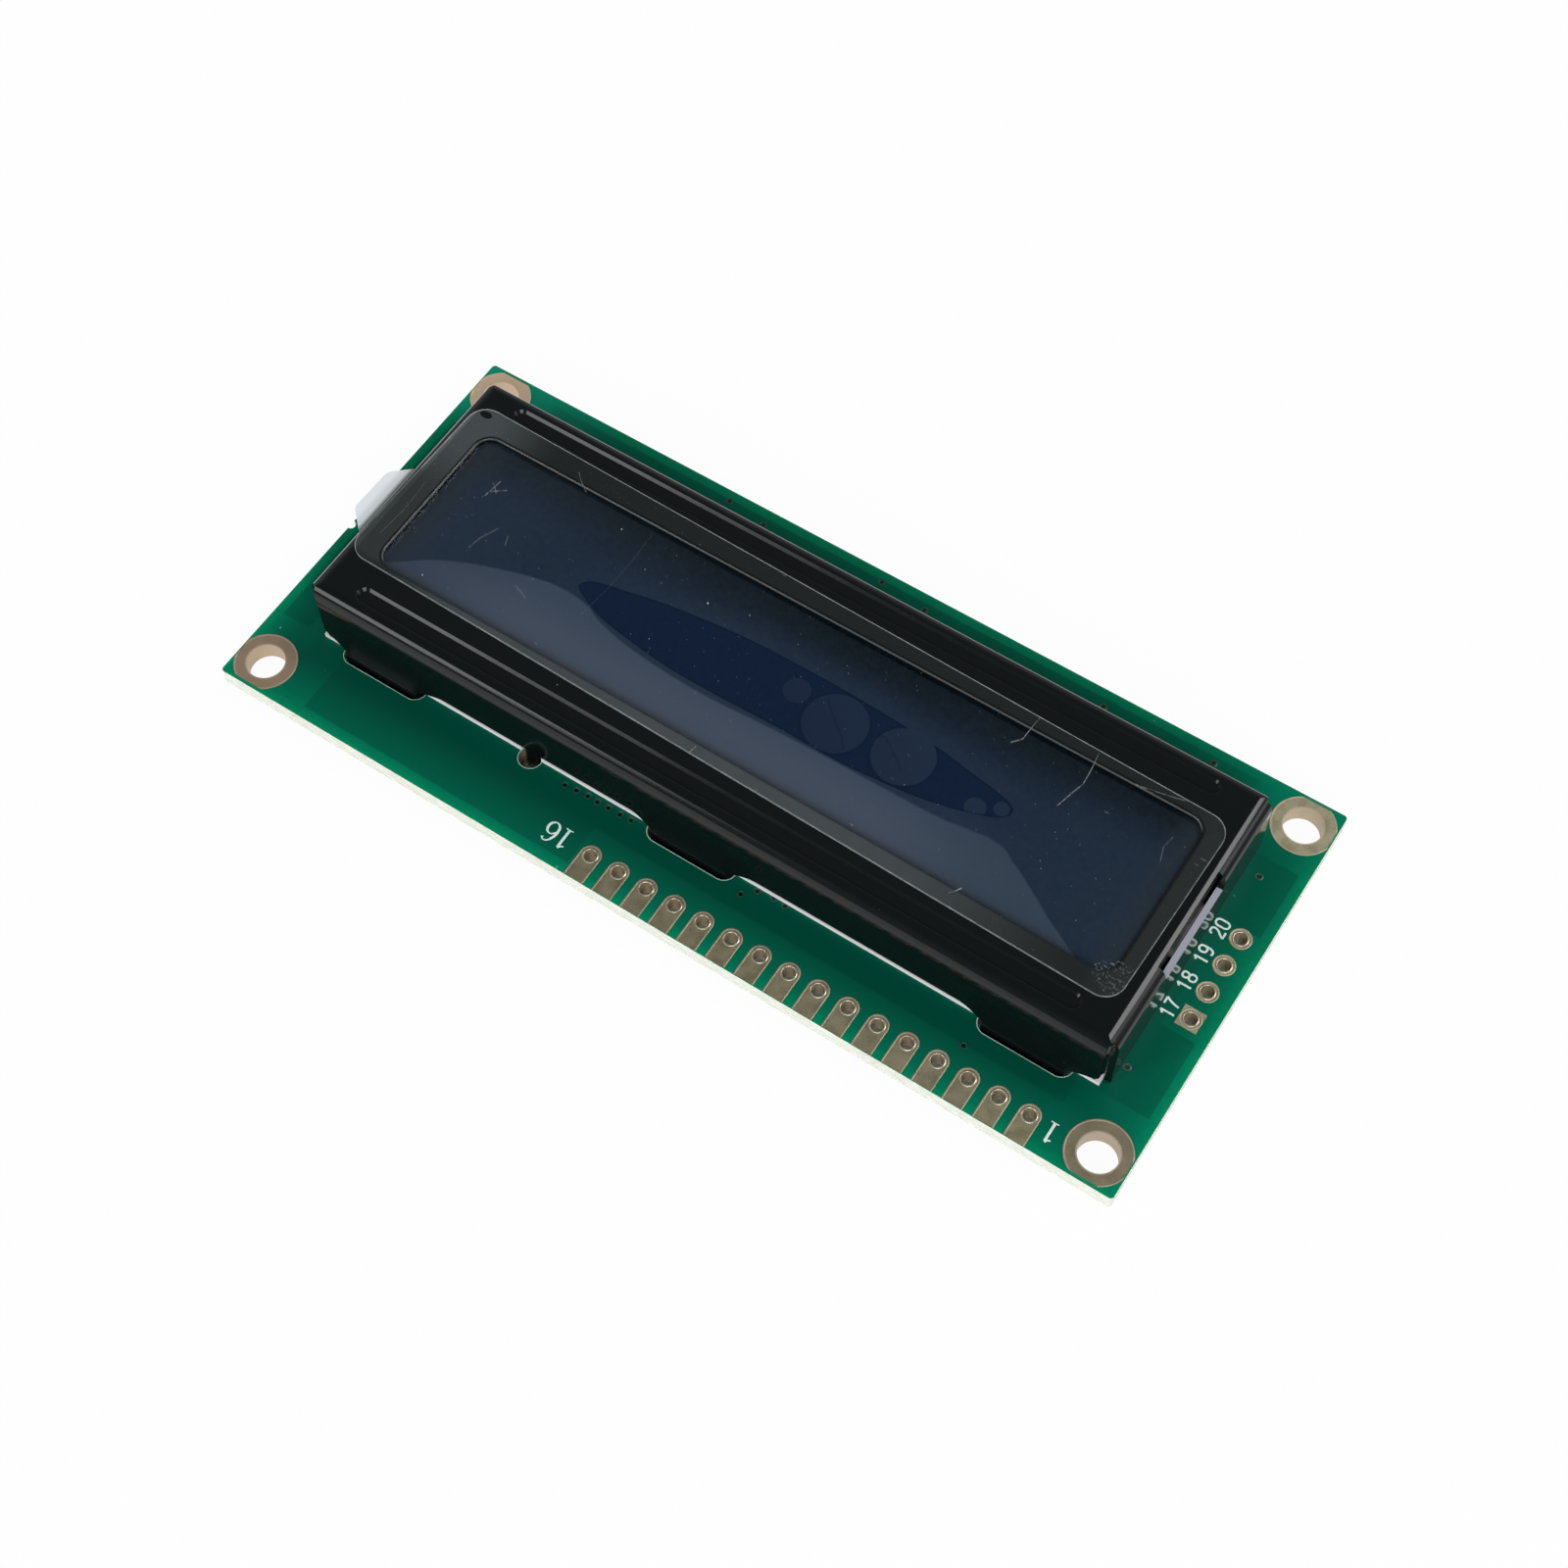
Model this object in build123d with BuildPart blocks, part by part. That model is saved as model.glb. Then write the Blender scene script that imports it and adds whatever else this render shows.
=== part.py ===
# Character display module, 16 characters by 2 lines, in millimetres.
# X runs along the lines of characters, Y towards the edge with the sixteen pads, Z out of the screen.
# The origin is below the middle of the board, on the surface that the two chip covers rest on.
import os
from math import hypot, radians, tan

from build123d import *

os.makedirs("parts", exist_ok=True)

# Board
board_length = 80.0
board_width = 36.0
board_thickness = 1.6
board_corner_radius = 0.3
plating = 0.05
edge_notch_radius = 0.4
edge_notch_y = 1.5

# Mounting holes, on 75 by 31 mm, and the bare metal rings round them
mount_inset = 2.5
mount_hole_radius = 1.55
mount_ring_width = 1.0
ring_edge_margin = 0.12

# Connection pads
pin_pitch = 2.54
pin_hole_radius = 0.5
header_count = 16
header_end_inset = 8.0
header_edge_inset = 2.3
pad_width = 1.76
pad_edge_margin = 0.05
serial_count = 4
serial_end_inset = 2.0
serial_square_y = 3.02

# Stamped sheet bezel, 71.2 by 23.8 mm, placed by its margins on the board
bezel_end_margin = 4.4
bezel_front_margin = 5.25
bezel_rear_margin = 6.95
bezel_height = 6.8
sheet = 0.5
bend_radius = 0.9
end_bend_radius = 1.2
long_wall_lift = 0.5
long_wall_end_radius = 0.8
relief_x = 0.7
relief_y = 0.6
relief_radius = 0.4
window_margin_x = 3.1
window_margin_y = 4.7
window_radius = 1.4
window_lip_radius = 0.12
bead_end_margin = 3.8
bead_width = 1.4
bead_depth = 0.25
bead_inset = 1.75
bead_slope = 40.0
bead_lip_radius = 0.1
port_length = 8.9
port_drop = 1.8
port_reach = 0.75
port_shift = 0.22
port_radius = 0.5

# Feet that pass through the board and fold outwards, and the earth pin
foot_end_inset = 3.15
foot_width = 6.9
foot_reach = 2.2
foot_bend_radius = 0.3
foot_corner_radius = 0.5
slot_width = 2.0
slot_end_clearance = 0.45
slot_shift = 0.3
pin_x = 14.9
pin_width = 1.1
pin_hole_shift = 0.45
earth_hole_radius = 0.95
pin_proud = 0.6

# Glass cell
glass_thickness = 1.1
glass_clearance = 0.3
polariser_thickness = 0.2
front_polariser_margin_x = 1.6
front_polariser_margin_y = 1.0
contact_ledge = 2.4
rear_polariser_inset = 0.2
plug_length = 5.0
plug_height = 1.5
plug_thickness = 0.25

# Backlight
case_wall = 0.9
case_floor = 0.45
case_end_clearance = 0.1
case_overhang = 0.05
case_rib = 0.45
reflector_thickness = 0.15
diffuser_thickness = 0.2
diffuser_gap = 0.15
guide_clearance = 0.1
lamp_board_thickness = 0.6
lamp_depth = 0.8
lamp_width = 2.8
lamp_gap = 0.2
lamp_margin = 0.2
lead_radius = 0.25
lead_spacing = 8.0
lead_clearance = 0.1
lead_proud = 0.8

# Elastomer connectors between board and glass
elastomer_width = 1.6
elastomer_end_margin = 1.8
elastomer_clearance = 0.15

# Protective film and its pull tab
film_overlap_x = 1.85
film_overlap_y = 1.325
film_thickness = 0.1
film_radius = 1.7
film_shift_x = 0.45
film_shift_y = -0.19
film_turn = -1.17
pull_tab_reach = 1.85
pull_tab_overlap = 0.25
pull_tab_root = 7.9
pull_tab_tip = 4.1
pull_tab_radius = 0.8
pull_tab_y = 3.1
pull_tab_thickness = 0.1

# Parts on the back of the board
chip_cover_radius = 7.5
chip_cover_height = 1.5
chip_cover_flat = 2.4
left_chip_x = -15.0
right_chip_x = 13.0
chip_y = -0.5
chip_length = 2.0
chip_width = 1.25
cap_length = 0.4
cap_step = 0.04
resistor_height = 0.5
capacitor_height = 0.85
resistor_column_inset = 11.0
resistor_column_y = -8.0
resistor_column_pitch = 2.9
middle_column_x = -1.0
middle_column_y = -6.3
middle_column_pitch = 2.9
capacitor_column_inset = 13.5
capacitor_column_pitch = 5.0
solder_radius = 1.0
solder_height = 0.7
solder_tip_radius = 0.4
earth_solder_radius = 1.6

# Levels
board_bottom = chip_cover_height
board_top = board_bottom + board_thickness
face_z = board_top + bezel_height
front_glass_top = face_z - sheet - bead_depth
cell_z = front_glass_top - glass_thickness
rear_glass_bottom = cell_z - glass_thickness
rear_polariser_bottom = rear_glass_bottom - polariser_thickness
case_floor_top = board_top + case_floor
guide_bottom = case_floor_top + reflector_thickness
guide_top = rear_polariser_bottom - diffuser_gap - diffuser_thickness
foot_bottom = board_bottom - sheet

# Sizes and places that several pieces share
mount_pitch_x = board_length - 2 * mount_inset
mount_pitch_y = board_width - 2 * mount_inset
bezel_length = board_length - 2 * bezel_end_margin
bezel_width = board_width - bezel_front_margin - bezel_rear_margin
bezel_y = (bezel_front_margin - bezel_rear_margin) / 2
window_length = bezel_length - 2 * window_margin_x
window_width = bezel_width - 2 * window_margin_y
bead_length = bezel_length - 2 * bead_end_margin
header_y = board_width / 2 - header_edge_inset
header_first_x = header_end_inset - board_length / 2
serial_x = serial_end_inset - board_length / 2
wall_outer = bezel_width / 2
wall_inner = wall_outer - sheet
foot_pitch = bezel_length / 2 - foot_end_inset - foot_width / 2
foot_columns = [-foot_pitch, 0, foot_pitch]
slot_length = foot_width + 2 * slot_end_clearance
slot_middle = wall_outer - sheet / 2 + slot_shift
earth_hole_y = bezel_y + wall_outer - sheet / 2 + pin_hole_shift
bead_y = wall_outer - bead_inset
bead_floor_width = bead_width - 2 * bead_depth * tan(radians(bead_slope))
front_glass_length = bezel_length - 2 * (sheet + glass_clearance)
front_glass_width = bezel_width - 2 * (sheet + glass_clearance)
rear_glass_width = front_glass_width - 2 * contact_ledge
elastomer_length = front_glass_length - 2 * elastomer_end_margin
elastomer_y = (front_glass_width - contact_ledge) / 2
elastomer_slot_width = elastomer_width + 2 * elastomer_clearance
tray_length = front_glass_length
tray_inner_length = tray_length - 2 * case_wall
tray_inner_width = rear_glass_width - 2 * case_wall
lamp_board_x = tray_inner_length / 2 - guide_clearance - lamp_board_thickness / 2
lamp_x = lamp_board_x - (lamp_board_thickness + lamp_depth) / 2
guide_start_x = -tray_inner_length / 2 + guide_clearance
guide_end_x = lamp_x - lamp_depth / 2 - guide_clearance
guide_length = guide_end_x - guide_start_x
guide_middle_x = (guide_start_x + guide_end_x) / 2
guide_width = tray_inner_width - 2 * guide_clearance
lamp_pitch = lamp_width + lamp_gap
lamp_count = int((guide_width - lamp_gap) / lamp_pitch)
lead_places = [(lamp_board_x, bezel_y - lead_spacing / 2), (lamp_board_x, bezel_y + lead_spacing / 2)]
film_length = window_length + 2 * film_overlap_x
film_width = window_width + 2 * film_overlap_y
film_place = Location((film_shift_x, bezel_y + film_shift_y, 0), (0, 0, film_turn))
chip_cover_arc_centre = (chip_cover_radius**2 - chip_cover_flat**2 + chip_cover_height**2) / (2 * chip_cover_height)
chip_cover_arc_radius = hypot(chip_cover_flat, chip_cover_arc_centre)


def save(part, name):
    """Give a finished piece its name and write it."""
    part.label = name
    export_step(part, f"parts/{name}.step")


# Board: laminate with every hole and slot routed through it
with BuildPart() as pcb:
    with BuildSketch(Plane.XY.offset(board_bottom)):
        RectangleRounded(board_length, board_width, board_corner_radius)
        with GridLocations(mount_pitch_x, mount_pitch_y, 2, 2):
            Circle(mount_hole_radius + plating, mode=Mode.SUBTRACT)
        for index in range(header_count):
            with Locations((header_first_x + index * pin_pitch, header_y)):
                Circle(pin_hole_radius + plating, mode=Mode.SUBTRACT)
        for index in range(serial_count):
            with Locations((serial_x, serial_square_y - index * pin_pitch)):
                Circle(pin_hole_radius + plating, mode=Mode.SUBTRACT)
        for side in (-1, 1):
            for foot_x in foot_columns:
                with Locations((foot_x, bezel_y + side * slot_middle)):
                    SlotOverall(slot_length, slot_width, mode=Mode.SUBTRACT)
        with Locations((pin_x, earth_hole_y)):
            Circle(earth_hole_radius, mode=Mode.SUBTRACT)
        with Locations(*lead_places):
            Circle(lead_radius + lead_clearance, mode=Mode.SUBTRACT)
        with Locations((board_length / 2, edge_notch_y)):
            Circle(edge_notch_radius, mode=Mode.SUBTRACT)
    extrude(amount=board_thickness)
save(pcb.part, "pcb")

# Mounting rings: plated holes whose rings stop just short of the board's edges
ring_radius = mount_hole_radius + mount_ring_width
ring_field_length = board_length - 2 * ring_edge_margin
ring_field_width = board_width - 2 * ring_edge_margin
mount_corners = {
    "mount_ring_front_left": (-1, -1),
    "mount_ring_front_right": (1, -1),
    "mount_ring_rear_left": (-1, 1),
    "mount_ring_rear_right": (1, 1),
}
for ring_name, (side_x, side_y) in mount_corners.items():
    ring_centre = (side_x * mount_pitch_x / 2, side_y * mount_pitch_y / 2)
    with BuildPart() as mount_ring:
        for level in (board_bottom - plating, board_top):
            with BuildSketch(Plane.XY.offset(level)):
                with Locations(ring_centre):
                    Circle(ring_radius)
                Rectangle(ring_field_length, ring_field_width, mode=Mode.INTERSECT)
            extrude(amount=plating)
        with BuildSketch(Plane.XY.offset(board_bottom - plating)):
            with Locations(ring_centre):
                Circle(mount_hole_radius + plating)
        extrude(amount=board_thickness + 2 * plating)
        with BuildSketch(Plane.XY.offset(board_bottom - plating)):
            with Locations(ring_centre):
                Circle(mount_hole_radius)
        extrude(amount=board_thickness + 2 * plating, mode=Mode.SUBTRACT)
    save(mount_ring.part, ring_name)

# Header pads: each is one plated hole with a tongue that runs out to the board's edge
tongue_length = header_edge_inset - pad_edge_margin
for number in range(1, header_count + 1):
    pad_x = header_first_x + (number - 1) * pin_pitch
    with BuildPart() as header_pad:
        for level in (board_bottom - plating, board_top):
            with BuildSketch(Plane.XY.offset(level)):
                with Locations((pad_x, header_y)):
                    Circle(pad_width / 2)
                with Locations((pad_x, header_y + tongue_length / 2)):
                    Rectangle(pad_width, tongue_length)
            extrude(amount=plating)
        with BuildSketch(Plane.XY.offset(board_bottom - plating)):
            with Locations((pad_x, header_y)):
                Circle(pin_hole_radius + plating)
        extrude(amount=board_thickness + 2 * plating)
        with BuildSketch(Plane.XY.offset(board_bottom - plating)):
            with Locations((pad_x, header_y)):
                Circle(pin_hole_radius)
        extrude(amount=board_thickness + 2 * plating, mode=Mode.SUBTRACT)
    save(header_pad.part, f"header_pad_{number:02d}")

# Serial pads: a square one first, then round ones, along the left short edge
for number in range(1, serial_count + 1):
    pad_y = serial_square_y - (number - 1) * pin_pitch
    with BuildPart() as serial_pad:
        for level in (board_bottom - plating, board_top):
            with BuildSketch(Plane.XY.offset(level)):
                with Locations((serial_x, pad_y)):
                    if number == 1:
                        Rectangle(pad_width, pad_width)
                    else:
                        Circle(pad_width / 2)
            extrude(amount=plating)
        with BuildSketch(Plane.XY.offset(board_bottom - plating)):
            with Locations((serial_x, pad_y)):
                Circle(pin_hole_radius + plating)
        extrude(amount=board_thickness + 2 * plating)
        with BuildSketch(Plane.XY.offset(board_bottom - plating)):
            with Locations((serial_x, pad_y)):
                Circle(pin_hole_radius)
        extrude(amount=board_thickness + 2 * plating, mode=Mode.SUBTRACT)
    save(serial_pad.part, f"serial_pad_{number}")

# Bezel: one blank of sheet steel, punched, beaded and folded, with its corners left open
# The room under it is its outline from the front crossed with its outline from the end, inside the sheet
with BuildPart() as bezel_room:
    with BuildSketch(Plane.XZ.offset(-bezel_y)) as front_room:
        with Locations((0, board_top + (bezel_height - sheet) / 2)):
            Rectangle(bezel_length - 2 * sheet, bezel_height - sheet)
        fillet(front_room.vertices().group_by(Axis.Y)[-1], radius=end_bend_radius - sheet)
    extrude(amount=bezel_width / 2, both=True)
    with BuildSketch(Plane.YZ) as end_room:
        with Locations((bezel_y, board_top + (bezel_height - sheet) / 2)):
            Rectangle(bezel_width - 2 * sheet, bezel_height - sheet)
        fillet(end_room.vertices().group_by(Axis.Y)[-1], radius=bend_radius - sheet)
    extrude(amount=bezel_length / 2, both=True, mode=Mode.INTERSECT)

with BuildPart() as bezel:
    # The outside is made the same way, with its own bends, and the room is taken out
    with BuildSketch(Plane.XZ.offset(-bezel_y)) as front_outline:
        with Locations((0, board_top + bezel_height / 2)):
            Rectangle(bezel_length, bezel_height)
        fillet(front_outline.vertices().group_by(Axis.Y)[-1], radius=end_bend_radius)
    extrude(amount=bezel_width / 2, both=True)
    with BuildSketch(Plane.YZ) as end_outline:
        with Locations((bezel_y, board_top + bezel_height / 2)):
            Rectangle(bezel_width, bezel_height)
        fillet(end_outline.vertices().group_by(Axis.Y)[-1], radius=bend_radius)
    extrude(amount=bezel_length / 2, both=True, mode=Mode.INTERSECT)
    add(bezel_room.part, mode=Mode.SUBTRACT)
    # The two beads that stiffen the long sides and press on the glass
    for side in (-1, 1):
        with BuildSketch(Plane.XY.offset(face_z - sheet)):
            with Locations((0, bezel_y + side * bead_y)):
                SlotOverall(bead_length, bead_width)
        with BuildSketch(Plane.XY.offset(face_z - sheet - bead_depth)):
            with Locations((0, bezel_y + side * bead_y)):
                SlotOverall(bead_length - bead_width + bead_floor_width, bead_floor_width)
        loft()
        with BuildSketch(Plane.XY.offset(face_z)):
            with Locations((0, bezel_y + side * bead_y)):
                SlotOverall(bead_length, bead_width)
        with BuildSketch(Plane.XY.offset(face_z - bead_depth)):
            with Locations((0, bezel_y + side * bead_y)):
                SlotOverall(bead_length - bead_width + bead_floor_width, bead_floor_width)
        loft(mode=Mode.SUBTRACT)
    bead_lips = bezel.faces().filter_by_position(Axis.Z, face_z, face_z)[0].inner_wires()
    fillet(bead_lips.edges(), radius=bead_lip_radius)
    # The viewing window
    with BuildSketch(Plane.XY.offset(face_z - sheet)):
        with Locations((0, bezel_y)):
            RectangleRounded(window_length, window_width, window_radius)
    extrude(amount=sheet, mode=Mode.SUBTRACT)
    window_lip = bezel.faces().filter_by_position(Axis.Z, face_z, face_z)[0].inner_wires().sort_by(SortBy.LENGTH)[-1]
    fillet(window_lip.edges(), radius=window_lip_radius)
    # The long walls stop above the board, between the feet
    with BuildSketch(Plane.XY.offset(board_top)):
        for side in (-1, 1):
            with Locations((0, bezel_y + side * (wall_outer - sheet / 2))):
                Rectangle(bezel_length, sheet)
    extrude(amount=long_wall_lift, mode=Mode.SUBTRACT)
    # The relief at each corner of the blank, which keeps the folds apart
    with BuildSketch(Plane.XY.offset(board_top)):
        with Locations((0, bezel_y)):
            with GridLocations(bezel_length, bezel_width, 2, 2):
                RectangleRounded(2 * relief_x, 2 * relief_y, relief_radius)
    extrude(amount=bezel_height, mode=Mode.SUBTRACT)
    # The long walls are rounded off at their lower ends
    fillet(bezel.edges().filter_by(Axis.Y).group_by(Axis.Z)[1], radius=long_wall_end_radius)
    # The port in the left wall that clears the filling plug of the glass cell
    with BuildSketch(Plane.YZ.offset(-bezel_length / 2)):
        with Locations((bezel_y + port_shift, face_z)):
            RectangleRounded(port_length, 2 * port_drop, port_radius)
    extrude(amount=port_reach, mode=Mode.SUBTRACT)
    # Six feet, which go through the board's slots and fold outwards against its back
    for side in (-1, 1):
        for foot_x in foot_columns:
            with BuildSketch(Plane.YZ.offset(foot_x - foot_width / 2)) as foot_profile:
                with BuildLine():
                    Polyline(
                        (bezel_y + side * wall_inner, board_top + long_wall_lift + sheet),
                        (bezel_y + side * wall_outer, board_top + long_wall_lift + sheet),
                        (bezel_y + side * wall_outer, board_bottom),
                        (bezel_y + side * (wall_inner + foot_reach), board_bottom),
                        (bezel_y + side * (wall_inner + foot_reach), foot_bottom),
                        (bezel_y + side * wall_inner, foot_bottom),
                        close=True,
                    )
                make_face()
                heel = Vector(bezel_y + side * wall_inner, foot_bottom)
                throat = Vector(bezel_y + side * wall_outer, board_bottom)
                fillet(foot_profile.vertices().sort_by_distance(heel)[0], radius=foot_bend_radius + sheet)
                fillet(foot_profile.vertices().sort_by_distance(throat)[0], radius=foot_bend_radius)
            extrude(amount=foot_width)
    foot_tips = bezel.edges().filter_by(Axis.Z).filter_by_position(Axis.Z, foot_bottom, board_bottom)
    fillet(foot_tips, radius=foot_corner_radius)
    # The earth pin, straight down through its round hole
    with BuildSketch(Plane.XY.offset(board_bottom - pin_proud)):
        with Locations((pin_x, bezel_y + wall_outer - sheet / 2)):
            Rectangle(pin_width, sheet)
    extrude(amount=pin_proud + board_thickness + long_wall_lift + sheet)
save(bezel.part, "bezel")

# Backlight case: a moulded tray with channels for the elastomer connectors on both sides
with BuildPart() as backlight_case:
    with BuildSketch(Plane.XY.offset(board_top)):
        with Locations((0, bezel_y)):
            Rectangle(bezel_length - 2 * (sheet + case_end_clearance), bezel_width + 2 * case_overhang)
    extrude(amount=case_floor)
    with BuildSketch(Plane.XY.offset(board_top)):
        with Locations((0, bezel_y)):
            Rectangle(tray_length, rear_glass_width)
    extrude(amount=rear_glass_bottom - board_top)
    with BuildSketch(Plane.XY.offset(case_floor_top)):
        with Locations((0, bezel_y)):
            Rectangle(tray_inner_length, tray_inner_width)
    extrude(amount=rear_glass_bottom - case_floor_top, mode=Mode.SUBTRACT)
    # The outer ribs that keep the connectors upright
    rib_outer = wall_inner - case_end_clearance
    for side in (-1, 1):
        with BuildSketch(Plane.XY.offset(board_top)):
            with Locations((0, bezel_y + side * (rib_outer - case_rib / 2))):
                Rectangle(tray_length, case_rib)
        extrude(amount=rear_glass_bottom - board_top)
    # The channels, open to the board below
    with BuildSketch(Plane.XY.offset(board_top)):
        for side in (-1, 1):
            with Locations((0, bezel_y + side * elastomer_y)):
                Rectangle(elastomer_length + 2 * elastomer_clearance, elastomer_slot_width)
    extrude(amount=case_floor, mode=Mode.SUBTRACT)
    # Room for the feet and the earth pin
    notch_depth = bezel_width / 2 + case_overhang - rib_outer
    with BuildSketch(Plane.XY.offset(board_top)):
        for side in (-1, 1):
            for foot_x in foot_columns:
                with Locations((foot_x, bezel_y + side * (rib_outer + notch_depth / 2))):
                    Rectangle(slot_length, notch_depth)
        with Locations((pin_x, bezel_y + rib_outer + notch_depth / 2)):
            Rectangle(2 * earth_hole_radius, notch_depth)
    extrude(amount=case_floor, mode=Mode.SUBTRACT)
    with BuildSketch(Plane.XY.offset(board_top)):
        with Locations(*lead_places):
            Circle(lead_radius + lead_clearance)
    extrude(amount=case_floor, mode=Mode.SUBTRACT)
save(backlight_case.part, "backlight_case")

# Reflector, light guide and diffuser, stacked in the tray
with BuildPart() as reflector_film:
    with BuildSketch(Plane.XY.offset(case_floor_top)):
        with Locations((guide_middle_x, bezel_y)):
            Rectangle(guide_length, guide_width)
    extrude(amount=reflector_thickness)
save(reflector_film.part, "reflector_film")

with BuildPart() as light_guide:
    with BuildSketch(Plane.XY.offset(guide_bottom)):
        with Locations((guide_middle_x, bezel_y)):
            Rectangle(guide_length, guide_width)
    extrude(amount=guide_top - guide_bottom)
save(light_guide.part, "light_guide")

with BuildPart() as diffuser_film:
    with BuildSketch(Plane.XY.offset(guide_top)):
        with Locations((guide_middle_x, bezel_y)):
            Rectangle(guide_length, guide_width)
    extrude(amount=diffuser_thickness)
save(diffuser_film.part, "diffuser_film")

# Lamp board, its lamps and its two leads
lamp_board_height = guide_top - case_floor_top - guide_clearance
with BuildPart() as lamp_board:
    with BuildSketch(Plane.XY.offset(case_floor_top)):
        with Locations((lamp_board_x, bezel_y)):
            Rectangle(lamp_board_thickness, guide_width)
    extrude(amount=lamp_board_height)
save(lamp_board.part, "lamp_board")

with BuildPart() as backlight_lamps:
    with BuildSketch(Plane.XY.offset(case_floor_top + lamp_margin)):
        with Locations((lamp_x, bezel_y)):
            with GridLocations(0, lamp_pitch, 1, lamp_count):
                Rectangle(lamp_depth, lamp_width)
    extrude(amount=lamp_board_height - 2 * lamp_margin)
save(backlight_lamps.part, "backlight_lamps")

for number, lead_place in enumerate(lead_places, start=1):
    with BuildPart() as backlight_lead:
        with BuildSketch(Plane.XY.offset(board_bottom - lead_proud)):
            with Locations(lead_place):
                Circle(lead_radius)
        extrude(amount=lead_proud + board_thickness + case_floor)
    save(backlight_lead.part, f"backlight_lead_{number}")

# Elastomer connectors: soft striped bars squeezed between the board and the glass ledges
for bar_name, side in (("elastomer_front", -1), ("elastomer_rear", 1)):
    with BuildPart() as elastomer:
        with BuildSketch(Plane.XY.offset(board_top)):
            with Locations((0, bezel_y + side * elastomer_y)):
                Rectangle(elastomer_length, elastomer_width)
        extrude(amount=cell_z - board_top)
    save(elastomer.part, bar_name)

# Glass cell: two plates, a polariser outside each, and the resin plug of the filling hole
with BuildPart() as rear_polariser:
    with BuildSketch(Plane.XY.offset(rear_polariser_bottom)):
        with Locations((0, bezel_y)):
            Rectangle(tray_inner_length - 2 * rear_polariser_inset, tray_inner_width - 2 * rear_polariser_inset)
    extrude(amount=polariser_thickness)
save(rear_polariser.part, "rear_polariser")

with BuildPart() as rear_glass:
    with BuildSketch(Plane.XY.offset(rear_glass_bottom)):
        with Locations((0, bezel_y)):
            Rectangle(front_glass_length, rear_glass_width)
    extrude(amount=glass_thickness)
save(rear_glass.part, "rear_glass")

with BuildPart() as front_glass:
    with BuildSketch(Plane.XY.offset(cell_z)):
        with Locations((0, bezel_y)):
            Rectangle(front_glass_length, front_glass_width)
    extrude(amount=glass_thickness)
save(front_glass.part, "front_glass")

with BuildPart() as front_polariser:
    with BuildSketch(Plane.XY.offset(front_glass_top)):
        with Locations((0, bezel_y)):
            Rectangle(window_length + 2 * front_polariser_margin_x, window_width + 2 * front_polariser_margin_y)
    extrude(amount=polariser_thickness)
save(front_polariser.part, "front_polariser")

with BuildPart() as filling_plug:
    with BuildSketch(Plane.YZ.offset(-front_glass_length / 2 - plug_thickness)):
        with Locations((bezel_y + port_shift, cell_z)):
            Ellipse(plug_length / 2, plug_height / 2)
    extrude(amount=plug_thickness)
save(filling_plug.part, "filling_plug")

# Protective film, laid on slightly askew, with a frosted pull tab at one end
with BuildPart() as protective_film:
    with BuildSketch(Plane.XY.offset(face_z)):
        with Locations(film_place):
            RectangleRounded(film_length, film_width, film_radius)
    extrude(amount=film_thickness)
save(protective_film.part, "protective_film")

with BuildPart() as pull_tab:
    with BuildSketch(Plane.XY.offset(face_z + film_thickness)):
        with BuildSketch(Plane.XY, mode=Mode.PRIVATE) as tab_outline:
            with BuildLine():
                Polyline(
                    (film_length / 2 - pull_tab_overlap, pull_tab_y - pull_tab_root / 2),
                    (film_length / 2 + pull_tab_reach, pull_tab_y - pull_tab_tip / 2),
                    (film_length / 2 + pull_tab_reach, pull_tab_y + pull_tab_tip / 2),
                    (film_length / 2 - pull_tab_overlap, pull_tab_y + pull_tab_root / 2),
                    close=True,
                )
            make_face()
            fillet(tab_outline.vertices().group_by(Axis.X)[-1], radius=pull_tab_radius)
        with Locations(film_place):
            add(tab_outline.sketch)
    extrude(amount=pull_tab_thickness)
save(pull_tab.part, "pull_tab")

# Chip covers: domes of black resin over the two bare chips, with a small flat where they settled
for cover_name, chip_x in (("chip_cover_left", left_chip_x), ("chip_cover_right", right_chip_x)):
    with BuildPart() as chip_cover:
        with BuildSketch(Plane.XZ):
            with BuildLine():
                Polyline(
                    (chip_cover_radius, board_bottom),
                    (0, board_bottom),
                    (0, 0),
                    (chip_cover_flat, 0),
                )
                RadiusArc((chip_cover_flat, 0), (chip_cover_radius, board_bottom), -chip_cover_arc_radius)
            make_face()
        revolve(axis=Axis.Z)
    save(Pos(chip_x, chip_y, 0) * chip_cover.part, cover_name)

# Chip resistors and capacitors: a ceramic block with a wrapped metal cap at each end
resistor_places = [
    (resistor_column_inset - board_length / 2, resistor_column_y + index * resistor_column_pitch) for index in range(5)
]
resistor_places += [
    (middle_column_x, middle_column_y + index * middle_column_pitch) for index in range(3)
]
capacitor_x = board_length / 2 - capacitor_column_inset
capacitor_places = [
    (capacitor_x, chip_y - capacitor_column_pitch / 2),
    (capacitor_x, chip_y + capacitor_column_pitch / 2),
]
chip_parts = [(f"resistor_{n}", place, resistor_height) for n, place in enumerate(resistor_places, start=1)]
chip_parts += [(f"capacitor_{n}", place, capacitor_height) for n, place in enumerate(capacitor_places, start=1)]
for chip_name, place, height in chip_parts:
    with BuildPart() as chip:
        with BuildSketch(Plane.XY.offset(board_bottom - height)):
            with Locations(place):
                with GridLocations(chip_length - cap_length, 0, 2, 1):
                    Rectangle(cap_length, chip_width)
        extrude(amount=height)
        with BuildSketch(Plane.XY.offset(board_bottom - height + cap_step)):
            with Locations(place):
                Rectangle(chip_length - 2 * cap_step, chip_width - 2 * cap_step)
        extrude(amount=height - cap_step)
    save(chip.part, chip_name)

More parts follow.
